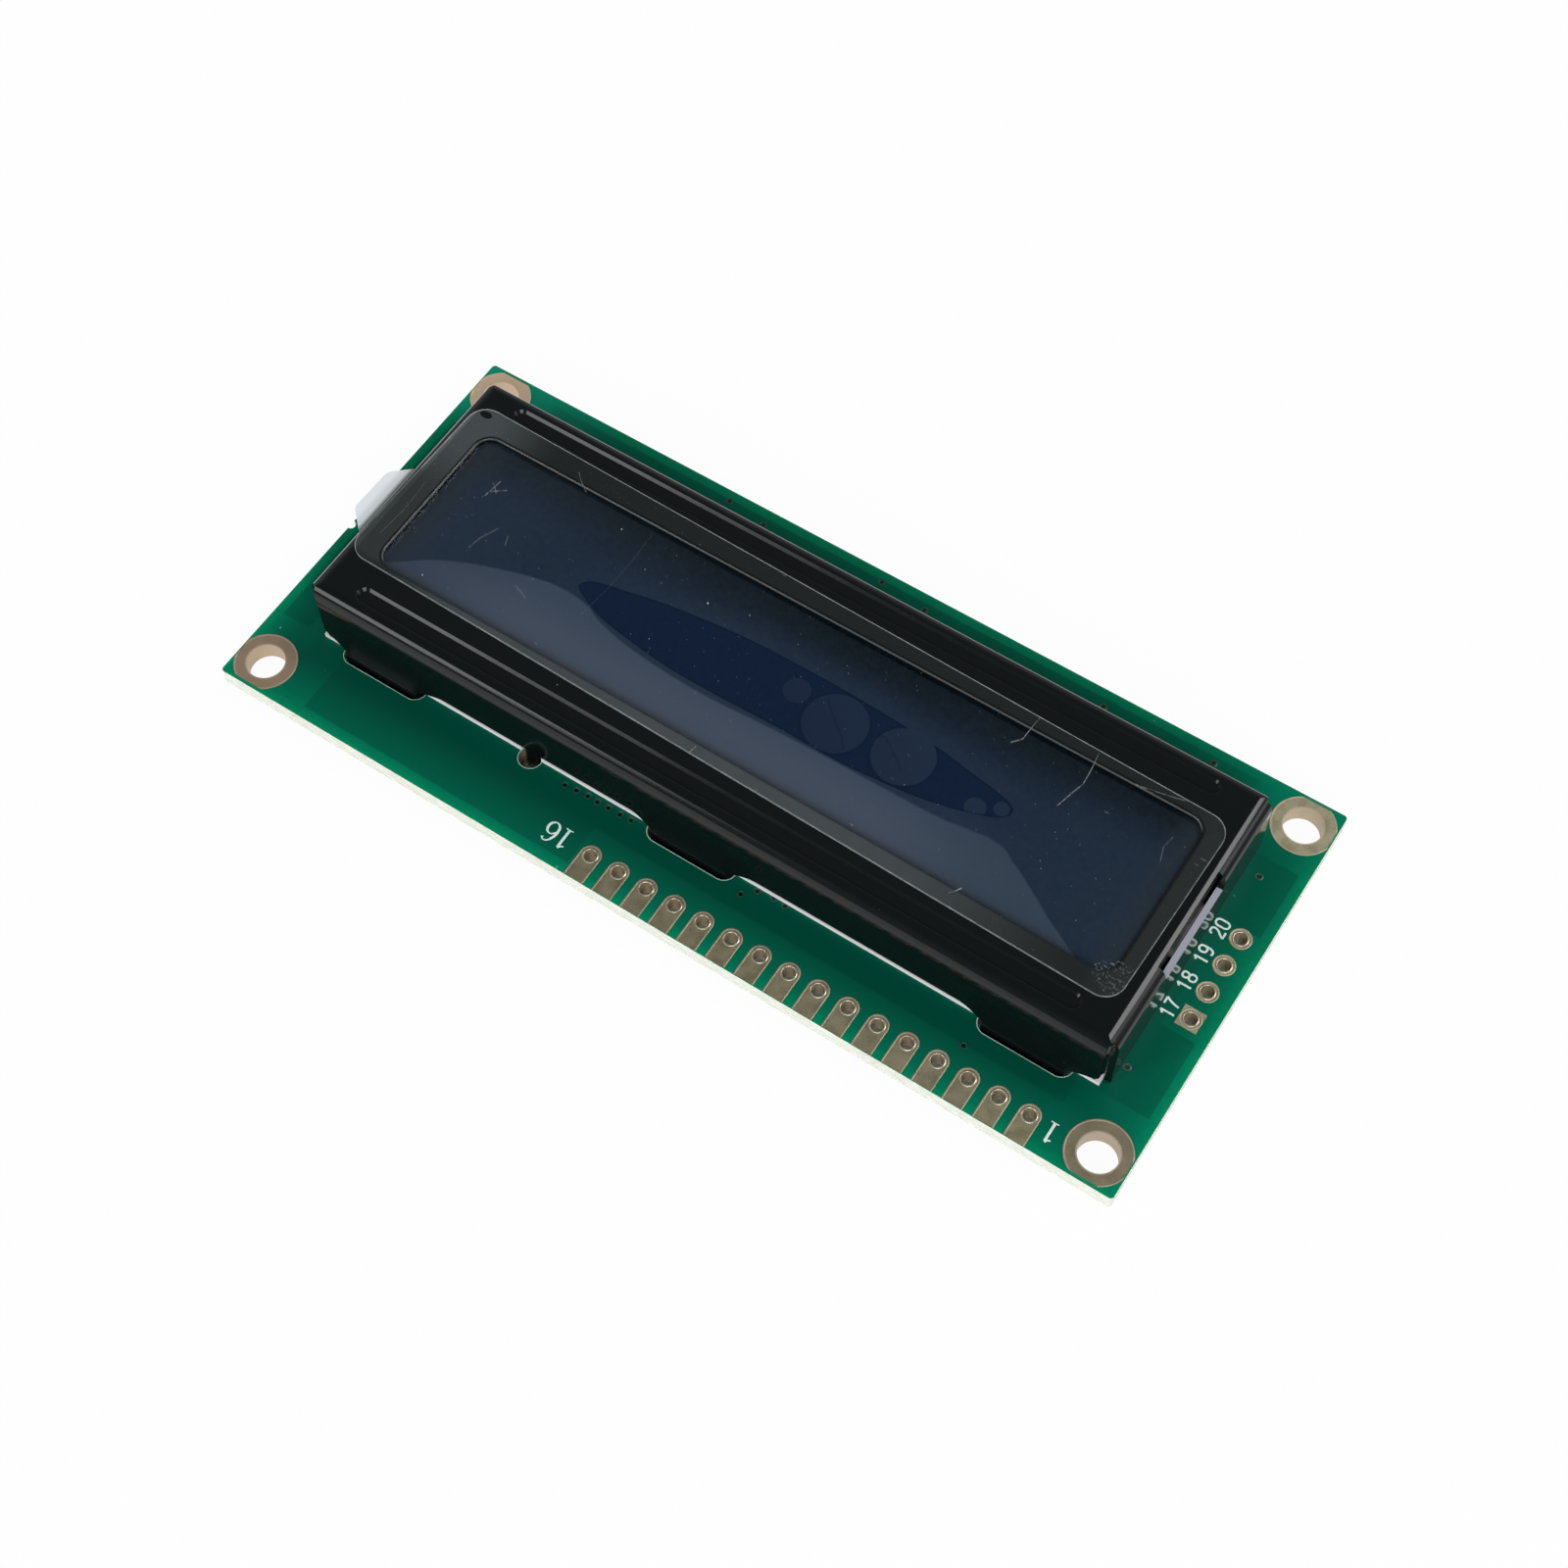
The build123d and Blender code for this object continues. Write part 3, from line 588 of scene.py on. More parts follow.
# Digits as strokes in a box one unit high, each point across and up
eight_top = (
    (0.3, 1.0), (0.13, 0.94), (0.09, 0.76), (0.16, 0.6), (0.3, 0.54), (0.44, 0.6), (0.51, 0.76), (0.47, 0.94),
    (0.3, 1.0),
)
eight_low = (
    (0.3, 0.54), (0.1, 0.44), (0.04, 0.25), (0.12, 0.06), (0.3, 0.0), (0.48, 0.06), (0.56, 0.25), (0.5, 0.44),
    (0.3, 0.54),
)
nine_loop = (
    (0.53, 0.7), (0.46, 0.5), (0.29, 0.44), (0.12, 0.5), (0.05, 0.72), (0.12, 0.93), (0.29, 1.0),
    (0.47, 0.93), (0.54, 0.7),
)
nought = (
    (0.3, 1.0), (0.12, 0.92), (0.04, 0.5), (0.12, 0.08), (0.3, 0.0), (0.48, 0.08), (0.56, 0.5), (0.48, 0.92),
    (0.3, 1.0),
)
two_hook = (
    (0.05, 0.78), (0.13, 0.95), (0.3, 1.0), (0.48, 0.94), (0.54, 0.75), (0.45, 0.52), (0.2, 0.22),
    (0.05, 0.0),
)
line_digits = {
    "0": (nought,),
    "1": (((0.1, 0.78), (0.22, 0.86), (0.34, 1.0)), ((0.34, 1.0), (0.34, 0.0))),
    "2": (two_hook, ((0.05, 0.0), (0.57, 0.0))),
    "7": (((0.04, 1.0), (0.56, 1.0)), ((0.56, 1.0), (0.36, 0.6), (0.22, 0.0))),
    "8": (eight_top, eight_low),
    "9": (nine_loop, ((0.54, 0.7), (0.53, 0.35), (0.43, 0.08), (0.27, 0.0), (0.1, 0.06))),
}

# The serif digits, each point across, up and line width
serif_one = (
    ((0.08, 0.82, 0.1), (0.2, 0.86, 0.15), (0.31, 0.98, 0.2)),
    ((0.31, 0.97, 0.22), (0.31, 0.5, 0.22), (0.31, 0.03, 0.22)),
    ((0.12, 0.0, 0.08), (0.31, 0.015, 0.12), (0.5, 0.0, 0.08)),
)
serif_six = ((
    (0.52, 0.88, 0.2), (0.42, 0.98, 0.1), (0.28, 0.96, 0.12), (0.12, 0.76, 0.2), (0.05, 0.42, 0.24),
    (0.12, 0.1, 0.2), (0.3, 0.0, 0.1), (0.48, 0.08, 0.18), (0.56, 0.3, 0.24), (0.48, 0.52, 0.18),
    (0.31, 0.59, 0.1), (0.15, 0.5, 0.14), (0.07, 0.36, 0.12),
),)
serif_places = (
    ((-34.36, 15.22), 1.65, serif_one), ((8.1, 14.75), 1.75, serif_one), ((9.25, 14.75), 1.75, serif_six),
)


def add_stroke(target, points, place, along, upward, size):
    """Adds one smooth printed line to the mesh, from points in a unit box, as a flattened round line."""
    curve = bpy.data.curves.new("stroke", "CURVE")
    curve.dimensions = "3D"
    curve.bevel_depth = MM
    curve.bevel_resolution = 3
    curve.use_fill_caps = True
    spline = curve.splines.new("BEZIER")
    spline.bezier_points.add(len(points) - 1)
    spline.resolution_u = 5
    for point, (across, rise, width) in zip(spline.bezier_points, points):
        flat_place = Vector(place) + Vector(along) * across * size + Vector(upward) * rise * size
        point.co = Vector((flat_place.x, flat_place.y, 0)) * MM
        point.radius = width / 2
        point.handle_left_type = "AUTO"
        point.handle_right_type = "AUTO"
    holder = bpy.data.objects.new("stroke", curve)
    line = bpy.data.meshes.new_from_object(holder)
    line.transform(Matrix.Diagonal((1, 1, ink_squash, 1)))
    line.transform(Matrix.Translation((0, 0, ink_level * MM)))
    target.from_mesh(line)
    bpy.data.meshes.remove(line)
    bpy.data.objects.remove(holder)
    bpy.data.curves.remove(curve)


shape = bmesh.new()
for number, text in enumerate(("17", "18", "19", "20")):
    start_y = serial_first_y - number * pin_pitch + 0.7 * label_height
    for index, digit in enumerate(text):
        place = (label_base_x, start_y - index * label_advance * label_height, 0)
        for points in line_digits[digit]:
            line = [(*point, line_width) for point in points]
            add_stroke(shape, line, place, (0, -1, 0), (1, 0, 0), label_height)
for start, size, digit in serif_places:
    for points in digit:
        add_stroke(shape, points, (*start, 0), (1, 0, 0), (0, 1, 0), size)
ink_finish = cloudy_finish(
    "print_ink", 1.5, 8.0, (205, 226, 218), (242, 250, 247), ends=(0.3, 0.7), Roughness=0.5,
)
link_mesh("printed_numbers", shape, ink_finish)

# Backlight case
# A white moulding under the bezel. It shows as a strip below the long walls and at the open corners.
case_finish, tree, shader = new_finish("white_moulding", Roughness=0.45)
spot, x, y, z = place_in_mm(tree)
tone = clouds(tree, spot, 0.5, 10.0)
white = tint(tree, tone, paint(238, 241, 240), paint(252, 253, 252))
# A pink painted reflection along its top edge; it is also pinker between x 22 and 31 mm
white = stain(tree, white, (205, 176, 192), between(tree, z, 3.35, 3.6, 0.0, 0.4))
white = stain(tree, white, (222, 194, 206), between(tree, x, 22.0, 31.0, 0.0, 0.5))
white = stain(tree, white, (60, 60, 58), dots(tree, spot, 0.7, 0.12, 0.35), 0.8)
feed(tree, shader, Base_Color=white, Normal=relief(tree, tone, 0.3, 0.00003))
dress(case_finish, "backlight_case")

# Backlight stack
# White reflector and diffuser films, a clear acrylic guide with printed dots, a strip of lamps on its own
# board, and the two wires that feed it.
film_finish = cloudy_finish("backlight_film", 2.0, 6.0, (228, 230, 228), (247, 248, 246), Roughness=0.6)
dress(film_finish, "reflector_film", "diffuser_film")
guide_finish, tree, shader = new_finish("guide_acrylic", Transmission_Weight=0.9, IOR=1.49)
dotted = dots(tree, place_in_mm(tree)[0], 1.2, 0.3, 1.0)
feed(tree, shader, Base_Color=tint(tree, dotted, paint(226, 240, 242), paint(250, 250, 250)))
feed(tree, shader, Roughness=plus(tree, 0.06, times(tree, dotted, 0.5)))
dress(guide_finish, "light_guide")
lamp_board_finish = cloudy_finish("lamp_board", 0.9, 10.0, (206, 206, 196), (236, 236, 228), Roughness=0.5)
dress(lamp_board_finish, "lamp_board")
lamp_finish = cloudy_finish(
    "lamp_resin", 0.7, 6.0, (222, 186, 92), (240, 224, 150), Roughness=0.25, Coat_Weight=0.4,
)
dress(lamp_finish, "backlight_lamps")
wire_finish, tree, shader = new_finish("tinned_wire", Metallic=1.0)
spot, x, y, z = place_in_mm(tree)
drawn = add(tree, "VectorMath", {0: spot, 1: (6.0, 6.0, 0.4)}, operation="MULTIPLY").outputs[0]
tone = clouds(tree, drawn, 1.0, 5.0)
feed(tree, shader, Base_Color=tint(tree, tone, paint(176, 174, 168), paint(220, 219, 214)))
feed(tree, shader, Roughness=plus(tree, 0.25, times(tree, tone, 0.25)))
dress(wire_finish, "backlight_lead_1", "backlight_lead_2")

# Elastomer connectors
# Soft silicone bars with hundreds of thin conducting stripes across them, squeezed between board and glass.
rubber_finish, tree, shader = new_finish("striped_silicone", Roughness=0.7)
spot, x, y, z = place_in_mm(tree)
stripe = between(tree, calc(tree, "SINE", times(tree, x, 40.0)), -0.2, 0.2)
pink = tint(tree, clouds(tree, spot, 1.0, 8.0), paint(206, 150, 148), paint(226, 178, 174))
feed(tree, shader, Base_Color=stain(tree, pink, (60, 52, 52), stripe, 0.8))
dress(rubber_finish, "elastomer_front", "elastomer_rear")

# Glass cell
# Two plates of thin glass with the liquid crystal between them, filled through a gap that a resin plug
# closes. The front plate and the plug show in the port of the bezel.
glass_finish = cloudy_finish(
    "cell_glass", 0.8, 10.0, (140, 152, 160), (176, 188, 196), rough=(0.04, 0.12),
    Transmission_Weight=0.85, IOR=1.5,
)
dress(glass_finish, "rear_glass", "front_glass")
plug_finish = cloudy_finish(
    "plug_resin", 0.9, 6.0, (40, 38, 36), (64, 60, 57), ends=(0.35, 0.65), depth=(0.6, 0.0001), Roughness=0.3,
)
dress(plug_finish, "filling_plug")

# Screen
# The front polariser: dark navy film on the glass. The loose protective film over it touches it in one long
# patch, which is darker and has five bubbles, and lies clear of it towards the pins, where a paler reflection
# is painted.
screen_finish, tree, shader = new_finish("screen_film", Specular_IOR_Level=0.3)
spot, x, y, z = place_in_mm(tree)
patch_far = (
    (18.2, -0.5), (17.3, -1.43), (15.2, -1.95), (11.5, -2.74), (8.7, -3.11), (4.8, -3.5), (-1.0, -3.64),
    (-6.9, -3.54), (-12.8, -3.15), (-15.9, -2.67), (-18.4, -2.3), (-19.6, -1.9), (-20.0, -1.3),
)
patch_near = (
    (18.2, -0.5), (17.1, 0.15), (15.0, 0.94), (11.5, 1.52), (8.3, 1.86), (4.0, 1.92), (-1.6, 1.78),
    (-7.4, 1.78), (-10.1, 1.57), (-12.8, 1.28), (-15.3, 0.8), (-17.6, 0.13), (-19.2, -0.5), (-20.0, -1.3),
)
# The far edge of the pale painted reflection, across and up
pale_reflection_far = (
    (33.0, 6.4), (31.5, 5.5), (28.7, 3.5), (26.3, 2.35), (23.9, 1.48), (21.3, 0.75), (19.1, 0.4), (17.2, 0.5),
    (14.6, 1.4), (11.2, 2.05), (4.9, 2.42), (-0.7, 2.15), (-6.3, 1.95), (-10.8, 1.9), (-15.9, 1.75),
    (-18.4, 1.4), (-19.9, 1.25), (-22.0, 2.0), (-24.4, 3.3), (-26.4, 4.5), (-28.5, 5.6), (-33.0, 8.0),
)


def edge_curve(tree, value, points, floor, ceiling):
    """Where an edge lies for each place along the screen, from a few points read along it."""
    points = sorted(points)
    low = points[0][0]
    high = points[-1][0]
    share = add(tree, "MapRange", {"Value": value, "From Min": low, "From Max": high}).outputs[0]
    curve = add(tree, "FloatCurve", {"Value": share})
    line = curve.mapping.curves[0]
    scaled = [((px - low) / (high - low), (py - floor) / (ceiling - floor)) for px, py in points]
    line.points[0].location = scaled[0]
    line.points[1].location = scaled[-1]
    for across, rise in scaled[1:-1]:
        line.points.new(across, rise)
    curve.mapping.update()
    return plus(tree, times(tree, curve.outputs[0], ceiling - floor), floor)


past_far = minus(tree, y, edge_curve(tree, x, patch_far, -6.0, 6.0))
short_of_near = minus(tree, edge_curve(tree, x, patch_near, -6.0, 6.0), y)
past_pale_reflection = minus(tree, y, edge_curve(tree, x, pale_reflection_far, -1.0, 9.0))
lengthwise = times(tree, between(tree, x, -20.02, -19.9), between(tree, x, 18.22, 18.1))
into_patch = smallest(tree, past_far, short_of_near)
patch = times(tree, between(tree, into_patch, -0.06, 0.06), lengthwise)
patch_rim = times(tree, between(tree, away(tree, into_patch, 0.06), 0.14, 0.02), lengthwise)
pale_reflection = between(tree, past_pale_reflection, -0.12, 0.12)
near_middle = between(tree, away(tree, x, -0.9), 24.0, 15.0)

# Painted reflections that lie on it, from the far side to the pins
cloud = clouds(tree, spot, 0.06, 30.0)
navy = tint(tree, between(tree, y, -8.4, -2.2), paint(3, 16, 24), paint(22, 38, 57))
tab_reflection = tint(tree, between(tree, y, -8.0, -3.5), paint(22, 33, 42), paint(28, 43, 62))
navy = tint(tree, times(tree, between(tree, x, 14.0, 29.0), 0.85), navy, tab_reflection)
navy = stain(tree, navy, (36, 44, 51), between(tree, x, 28.5, 32.5, 0.0, 0.85))
navy = stain(tree, navy, (26, 43, 60), between(tree, x, -17.0, -27.0), between(tree, y, -7.0, -3.0), 0.7)
navy = stain(tree, navy, (35, 45, 52), between(tree, x, -29.5, -32.5, 0.0, 0.8))
navy = stain(tree, navy, (30, 45, 66), between(tree, past_far, -2.6, 0.3), near_middle, 0.6)
navy = stain(tree, navy, (33, 49, 68), between(tree, y, -0.6, 1.6), near_middle, 0.7)
# The pale painted reflection where the film lies clear of the screen
pale_reflection_colour = tint(tree, between(tree, y, 1.0, 4.5), paint(58, 71, 90), paint(69, 80, 97))
pale_reflection_colour = stain(tree, pale_reflection_colour, (73, 78, 87), between(tree, y, 5.0, 6.6))
pale_reflection_colour = stain(tree, pale_reflection_colour, (48, 63, 77), between(tree, x, -10.0, -25.0, 0.0, 0.8))
navy = tint(tree, times(tree, pale_reflection, between(tree, x, 32.5, 20.0, 0.5, 0.97)), navy, pale_reflection_colour)
navy = stain(tree, navy, (80, 92, 104), between(tree, cloud, 0.3, 0.7), 0.08)
navy = stain(tree, navy, (7, 28, 54), patch)
navy = stain(tree, navy, (4, 17, 38), patch_rim, 0.55)

# An oval, for the bubbles and for spots on the film: one mask for its inside and one for the line round it
bubble, given, result = new_group(
    "bubble",
    {
        "X": ("Float", 0.0), "Y": ("Float", 0.0), "Centre X": ("Float", 0.0), "Centre Y": ("Float", 0.0),
        "Half X": ("Float", 1.0), "Half Y": ("Float", 1.0),
    },
    ("Inside", "Rim"),
)
across = calc(bubble, "DIVIDE", minus(bubble, given["X"], given["Centre X"]), given["Half X"])
along = calc(bubble, "DIVIDE", minus(bubble, given["Y"], given["Centre Y"]), given["Half Y"])
reach = distance(bubble, across, along)
bubble.links.new(between(bubble, reach, 1.0, 0.96), result.inputs[0])
bubble.links.new(between(bubble, away(bubble, reach, 1.03), 0.06, 0.0), result.inputs[1])


def oval(tree, x, y, centre_x, centre_y, half_x, half_y):
    """The inside and the rim of an oval on the board."""
    inputs = {"X": x, "Y": y, "Centre X": centre_x, "Centre Y": centre_y, "Half X": half_x, "Half Y": half_y}
    return use(tree, bubble, inputs)


bubble_places = (
    (-1.12, -1.68, 1.12), (-5.07, -0.84, 2.6), (-10.82, -1.15, 2.5), (-17.44, -0.36, 0.86),
    (-19.14, -1.29, 0.62),
)
bubbles = [oval(tree, x, y, centre_x, centre_y, half, half) for centre_x, centre_y, half in bubble_places]
discs = largest(tree, *[disc for disc, rim in bubbles])
rims = largest(tree, *[rim for disc, rim in bubbles])
blister = times(tree, discs, between(tree, short_of_near, 0.02, 0.16))
navy = stain(tree, navy, (4, 19, 42), rims, patch, 0.5)
bubble_colour = tint(tree, between(tree, plus(tree, x, y), -16.0, -2.0), paint(29, 45, 64), paint(23, 38, 62))
navy = tint(tree, times(tree, blister, 0.95), navy, bubble_colour)

# A straight mark from one point to another, for creases and scratches
mark_line, given, result = new_group(
    "mark_line",
    {"Place": ("Vector", None), "Start": ("Vector", None), "End": ("Vector", None), "Width": ("Float", 0.05)},
    ("Mask",),
)
offset = add(mark_line, "VectorMath", {0: given["Place"], 1: given["Start"]}, operation="SUBTRACT").outputs[0]
whole = add(mark_line, "VectorMath", {0: given["End"], 1: given["Start"]}, operation="SUBTRACT").outputs[0]
top = add(mark_line, "VectorMath", {0: offset, 1: whole}, operation="DOT_PRODUCT").outputs["Value"]
base = add(mark_line, "VectorMath", {0: whole, 1: whole}, operation="DOT_PRODUCT").outputs["Value"]
share = calc(mark_line, "DIVIDE", top, base, clamp=True)
nearest = add(mark_line, "VectorMath", {0: whole, "Scale": share}, operation="SCALE").outputs[0]
from_line = add(mark_line, "VectorMath", {0: offset, 1: nearest}, operation="DISTANCE").outputs["Value"]
mark_line.links.new(between(mark_line, from_line, given["Width"], 0.0), result.inputs[0])


def marks(tree, place, lines):
    """The strongest of several lines, each with its points, its half width and its strength."""
    masks = []
    for points, width, strength in lines:
        for start, end in zip(points, points[1:]):
            ends = {"Place": place, "Start": (*start, 0.0), "End": (*end, 0.0), "Width": width}
            masks.append(times(tree, use(tree, mark_line, ends)[0], strength))
    return largest(tree, *masks)


flat_spot = add(tree, "CombineXYZ", {0: x, 1: y}).outputs[0]
creases = (
    (
        ((-3.45, -2.39), (-3.86, -1.92), (-4.56, -1.32), (-5.4, -0.65), (-6.16, -0.01), (-6.73, 0.74)),
        0.16, 0.55,
    ),
    (
        ((-8.12, -1.68), (-8.72, -1.83), (-9.42, -1.48), (-10.2, -0.87), (-10.8, -0.46), (-11.18, -0.07)),
        0.16, 0.5,
    ),
)
navy = stain(tree, navy, (10, 26, 46), marks(tree, flat_spot, creases), blister)
feed(tree, shader, Base_Color=navy, Roughness=plus(tree, 0.08, times(tree, cloud, 0.06)))
dress(screen_finish, "front_polariser")
rear_film_finish = cloudy_finish("rear_film", 0.5, 12.0, (44, 50, 66), (58, 64, 82), Roughness=0.3)
dress(rear_film_finish, "rear_polariser")

# Bezel
# One pressing of 0.5 mm steel sheet, folded, beaded and sprayed gloss black before its feet are folded over.
# It has a little dust and the faint orange peel of sprayed paint.
bezel_finish, tree, shader = new_finish("black_gloss_paint", Specular_IOR_Level=0.28)
spot, x, y, z = place_in_mm(tree)
peel = clouds(tree, spot, 0.5, 3.0)
black = tint(tree, peel, paint(9, 13, 14), paint(14, 19, 20))
dust = times(tree, dots(tree, spot, 0.5, 0.024, 0.3), 0.5)
dirt = largest(tree, dust, times(tree, dots(tree, spot, 1.3, 0.04, 0.2), 0.2))
black = stain(tree, black, (190, 190, 184), dirt)

# The sheet's cut edge under the port is coloured light grey, and the long walls belly out a little below
# their bends
port_bottom = 8.1
port_edge = times(
    tree,
    calc(tree, "GREATER_THAN", facing_up(tree), 0.9),
    calc(tree, "LESS_THAN", away(tree, z, port_bottom), 0.2),
    inside(tree, x, y, -35.7, -34.9, -5.0, 3.8, soft=0.05),
)
rough = plus(tree, 0.09, times(tree, peel, 0.08), times(tree, dirt, 0.5))
on_long_wall = calc(tree, "GREATER_THAN", away(tree, y, bezel_middle_y), 11.3)
belly = times(tree, between(tree, z, 9.5, 7.4, 0.0, 0.42), on_long_wall)
feed(
    tree, shader,
    Base_Color=stain(tree, black, (166, 168, 180), port_edge),
    Roughness=largest(tree, rough, times(tree, port_edge, 0.4)),
    Normal=relief(tree, plus(tree, belly, times(tree, peel, 0.0075)), 1.0, MM),
)
dress(bezel_finish, "bezel")

# Drawn feet
# Over each foot the long wall is drawn outwards in a shallow fan, so that the foot goes down close to the
# outer rim of its slot.
wall_out = 11.9
wall_bottom = 3.6
fan_top = 7.2
fan_half = 5.6
fan_ease = 2.75
foot_half = 3.45
foot_low = 1.6
foot_draw = 0.7


def drawn_place(side, centre_x, across, level):
    """A point of the drawn wall over a foot."""
    rise = min(max((level - board_top) / (fan_top - board_top), 0.0), 1.0)
    share = min(max((fan_half - abs(across)) / fan_ease, 0.0), 1.0)
    spread = share * share * (3 - 2 * share)
    out = 0.01 + foot_draw * (1 - rise) ** 2 * spread
    return Vector((centre_x + across, bezel_middle_y + side * (wall_out + out), level)) * MM


def add_sheet(target, side, centre_x, half, low, high, columns, rows):
    """A grid of the drawn wall, with its bottom and its two sides closed back to the straight wall."""
    grid = []
    for row in range(rows + 1):
        level = low + (high - low) * row / rows
        across = [half * (2 * column / columns - 1) for column in range(columns + 1)]
        grid.append([target.verts.new(drawn_place(side, centre_x, value, level)) for value in across])
    wall_y = (bezel_middle_y + side * (wall_out - 0.05)) * MM
    loops = [grid[0], [line[0] for line in grid], [line[-1] for line in grid]]
    for low_row, high_row in zip(grid, grid[1:]):
        for index in range(columns):
            target.faces.new((low_row[index], low_row[index + 1], high_row[index + 1], high_row[index]))
    for loop in loops:
        behind = [target.verts.new((vert.co.x, wall_y, vert.co.z)) for vert in loop]
        front = [target.verts.new(vert.co) for vert in loop]
        for index in range(len(loop) - 1):
            target.faces.new((front[index], front[index + 1], behind[index + 1], behind[index]))


shape = bmesh.new()
for side in (-1, 1):
    for centre_x in (-foot_x, 0.0, foot_x):
        add_sheet(shape, side, centre_x, fan_half, wall_bottom, fan_top, 48, 16)
        add_sheet(shape, side, centre_x, foot_half, foot_low, wall_bottom, 24, 8)
link_mesh("drawn_feet", shape, bezel_finish)

# Protective film
# A clear peelable film over the window and part of the bezel, laid on a little askew. It is scuffed and
# dusty, with a painted sheen over the bezel, and its cut edge has a painted highlight.
window_half_x = 32.5
window_half_y = 7.2
window_radius = 1.4
film_centre_x = 0.45
film_centre_y = -1.04
film_half_x = 34.35
film_half_y = 8.525
film_radius = 1.7
film_turn = math.radians(-1.17)
clear_finish, tree, shader = new_finish("clear_film", Roughness=0.4, Specular_IOR_Level=0.15)
spot, x, y, z = place_in_mm(tree)
flat_spot = add(tree, "CombineXYZ", {0: x, 1: y}).outputs[0]
to_window_y = minus(tree, y, bezel_middle_y)
from_window = rounded_reach(tree, x, to_window_y, window_half_x, window_half_y, window_radius)
shift_x = minus(tree, x, film_centre_x)
shift_y = minus(tree, y, film_centre_y)
cosine = math.cos(film_turn)
sine = math.sin(film_turn)
film_x = plus(tree, times(tree, shift_x, cosine), times(tree, shift_y, sine))
film_y = minus(tree, times(tree, shift_y, cosine), times(tree, shift_x, sine))
from_film_edge = rounded_reach(tree, film_x, film_y, film_half_x, film_half_y, film_radius)

# Its haze over the bezel is part the film's own haze and part painted sheen; the painted sheen is brightest
# past the pins' side of the window and at the far corner by the tab
cloud = clouds(tree, spot, 0.07, 8.0)
near_ends = times(tree, between(tree, x, -31.0, -12.0), between(tree, x, 33.5, 22.0))
near_sheen = times(tree, between(tree, y, 4.5, 6.5), near_ends)
far_share = between(tree, y, 0.0, -7.0, 0.32, 1.0)
tab_sheen = times(tree, between(tree, x, 26.0, 33.0), far_share, between(tree, y, 7.0, 6.0))
port_sheen = between(tree, x, -30.0, -33.5, 0.0, 0.14)
sheen_bands = largest(tree, near_sheen, tab_sheen, port_sheen)
sheen_bands = times(tree, sheen_bands, between(tree, cloud, 0.25, 0.75, 0.85, 1.1))
haze_sheen_colour = tint(tree, sheen_bands, paint(53, 57, 58), paint(116, 125, 128))
gap = oval(tree, x, y, 33.54, -9.5, 0.55, 0.33)[0]
haze_and_sheen = times(tree, between(tree, from_window, 0.06, 0.26), 0.35, minus(tree, 1.0, gap))

# Dust in four sizes, short fibres lying three ways, and fine broken scratches
# Pale marks on the film, and further down its painted highlights
marks_and_highlights = []
dust_sizes = ((0.5, 0.026, 0.4, 0.75), (1.0, 0.034, 0.3, 0.5), (2.2, 0.06, 0.26, 0.3), (3.6, 0.09, 0.2, 0.2))
for number, (cell, size, share, strength) in enumerate(dust_sizes):
    shift = (3.7 * number, 1.9 * number, 0.0)
    moved = add(tree, "VectorMath", {0: flat_spot, 1: shift}, operation="ADD").outputs[0]
    marks_and_highlights.append(times(tree, dots(tree, moved, cell, size, share), strength))
for angle, strength in ((0.5, 0.2), (1.9, 0.16), (2.7, 0.14)):
    lie = {"Vector": flat_spot, "Rotation": (0.0, 0.0, angle), "Scale": (0.22, 1.8, 1.0)}
    turned = add(tree, "Mapping", lie).outputs[0]
    marks_and_highlights.append(times(tree, dots(tree, turned, 0.8, 0.05, 0.12), strength))
scratches = (
    (((-17.72, -9.19), (-17.6, -7.6), (-17.57, -6.9), (-16.98, -6.18)), 0.05, 0.2),
    (((-22.89, -8.88), (-23.1, -7.2), (-23.18, -5.96), (-22.9, -5.0), (-22.5, -3.4)), 0.05, 0.2),
    (((-26.37, -8.02), (-28.1, -8.3), (-30.37, -8.83)), 0.055, 0.2),
    (((-30.79, -5.7), (-30.6, -4.6), (-31.0, -3.4)), 0.045, 0.08),
    (((27.03, 1.51), (26.83, 0.29), (26.18, -1.15)), 0.045, 0.1),
    (((24.78, -0.11), (25.11, -0.99)), 0.045, 0.09),
    (((28.92, -3.15), (28.82, -3.9), (28.7, -4.9)), 0.05, 0.22),
    (((28.82, -3.66), (28.3, -4.05), (27.78, -4.45)), 0.05, 0.18),
    (((29.14, -4.47), (28.75, -4.2), (28.32, -3.76)), 0.045, 0.14),
    (((15.82, -7.34), (15.7, -4.0), (15.82, -1.2), (16.17, 1.79)), 0.045, 0.025),
    (((24.0, -8.9), (23.4, -8.3), (22.44, -7.69)), 0.05, 0.16),
    (((5.19, 7.6), (4.7, 7.28)), 0.05, 0.3),
    (((2.42, 7.43), (2.29, 6.72)), 0.045, 0.3),
    (((-19.59, 6.92), (-19.9, 6.5), (-20.15, 6.09)), 0.05, 0.3),
    (((33.6, -1.5), (33.4, 1.2), (33.62, 4.2)), 0.045, 0.1),
    (((20.6, 2.9), (21.9, 2.4)), 0.045, 0.12),
)
broken = add(tree, "TexNoise", {"Vector": flat_spot, "Scale": 3.0, "Detail": 3.0}).outputs[0]
whole_part = between(tree, broken, 0.36, 0.56, 0.25, 1.0)
marks_and_highlights.append(times(tree, marks(tree, flat_spot, scratches), whole_part))
scuff = add(tree, "TexNoise", {"Vector": flat_spot, "Scale": 4.5, "Detail": 4.0}).outputs[0]
scuff_spot = oval(tree, x, y, -33.0, 6.3, 2.0, 1.4)[0]
marks_and_highlights.append(times(tree, between(tree, scuff, 0.5, 0.72), scuff_spot, 0.12))

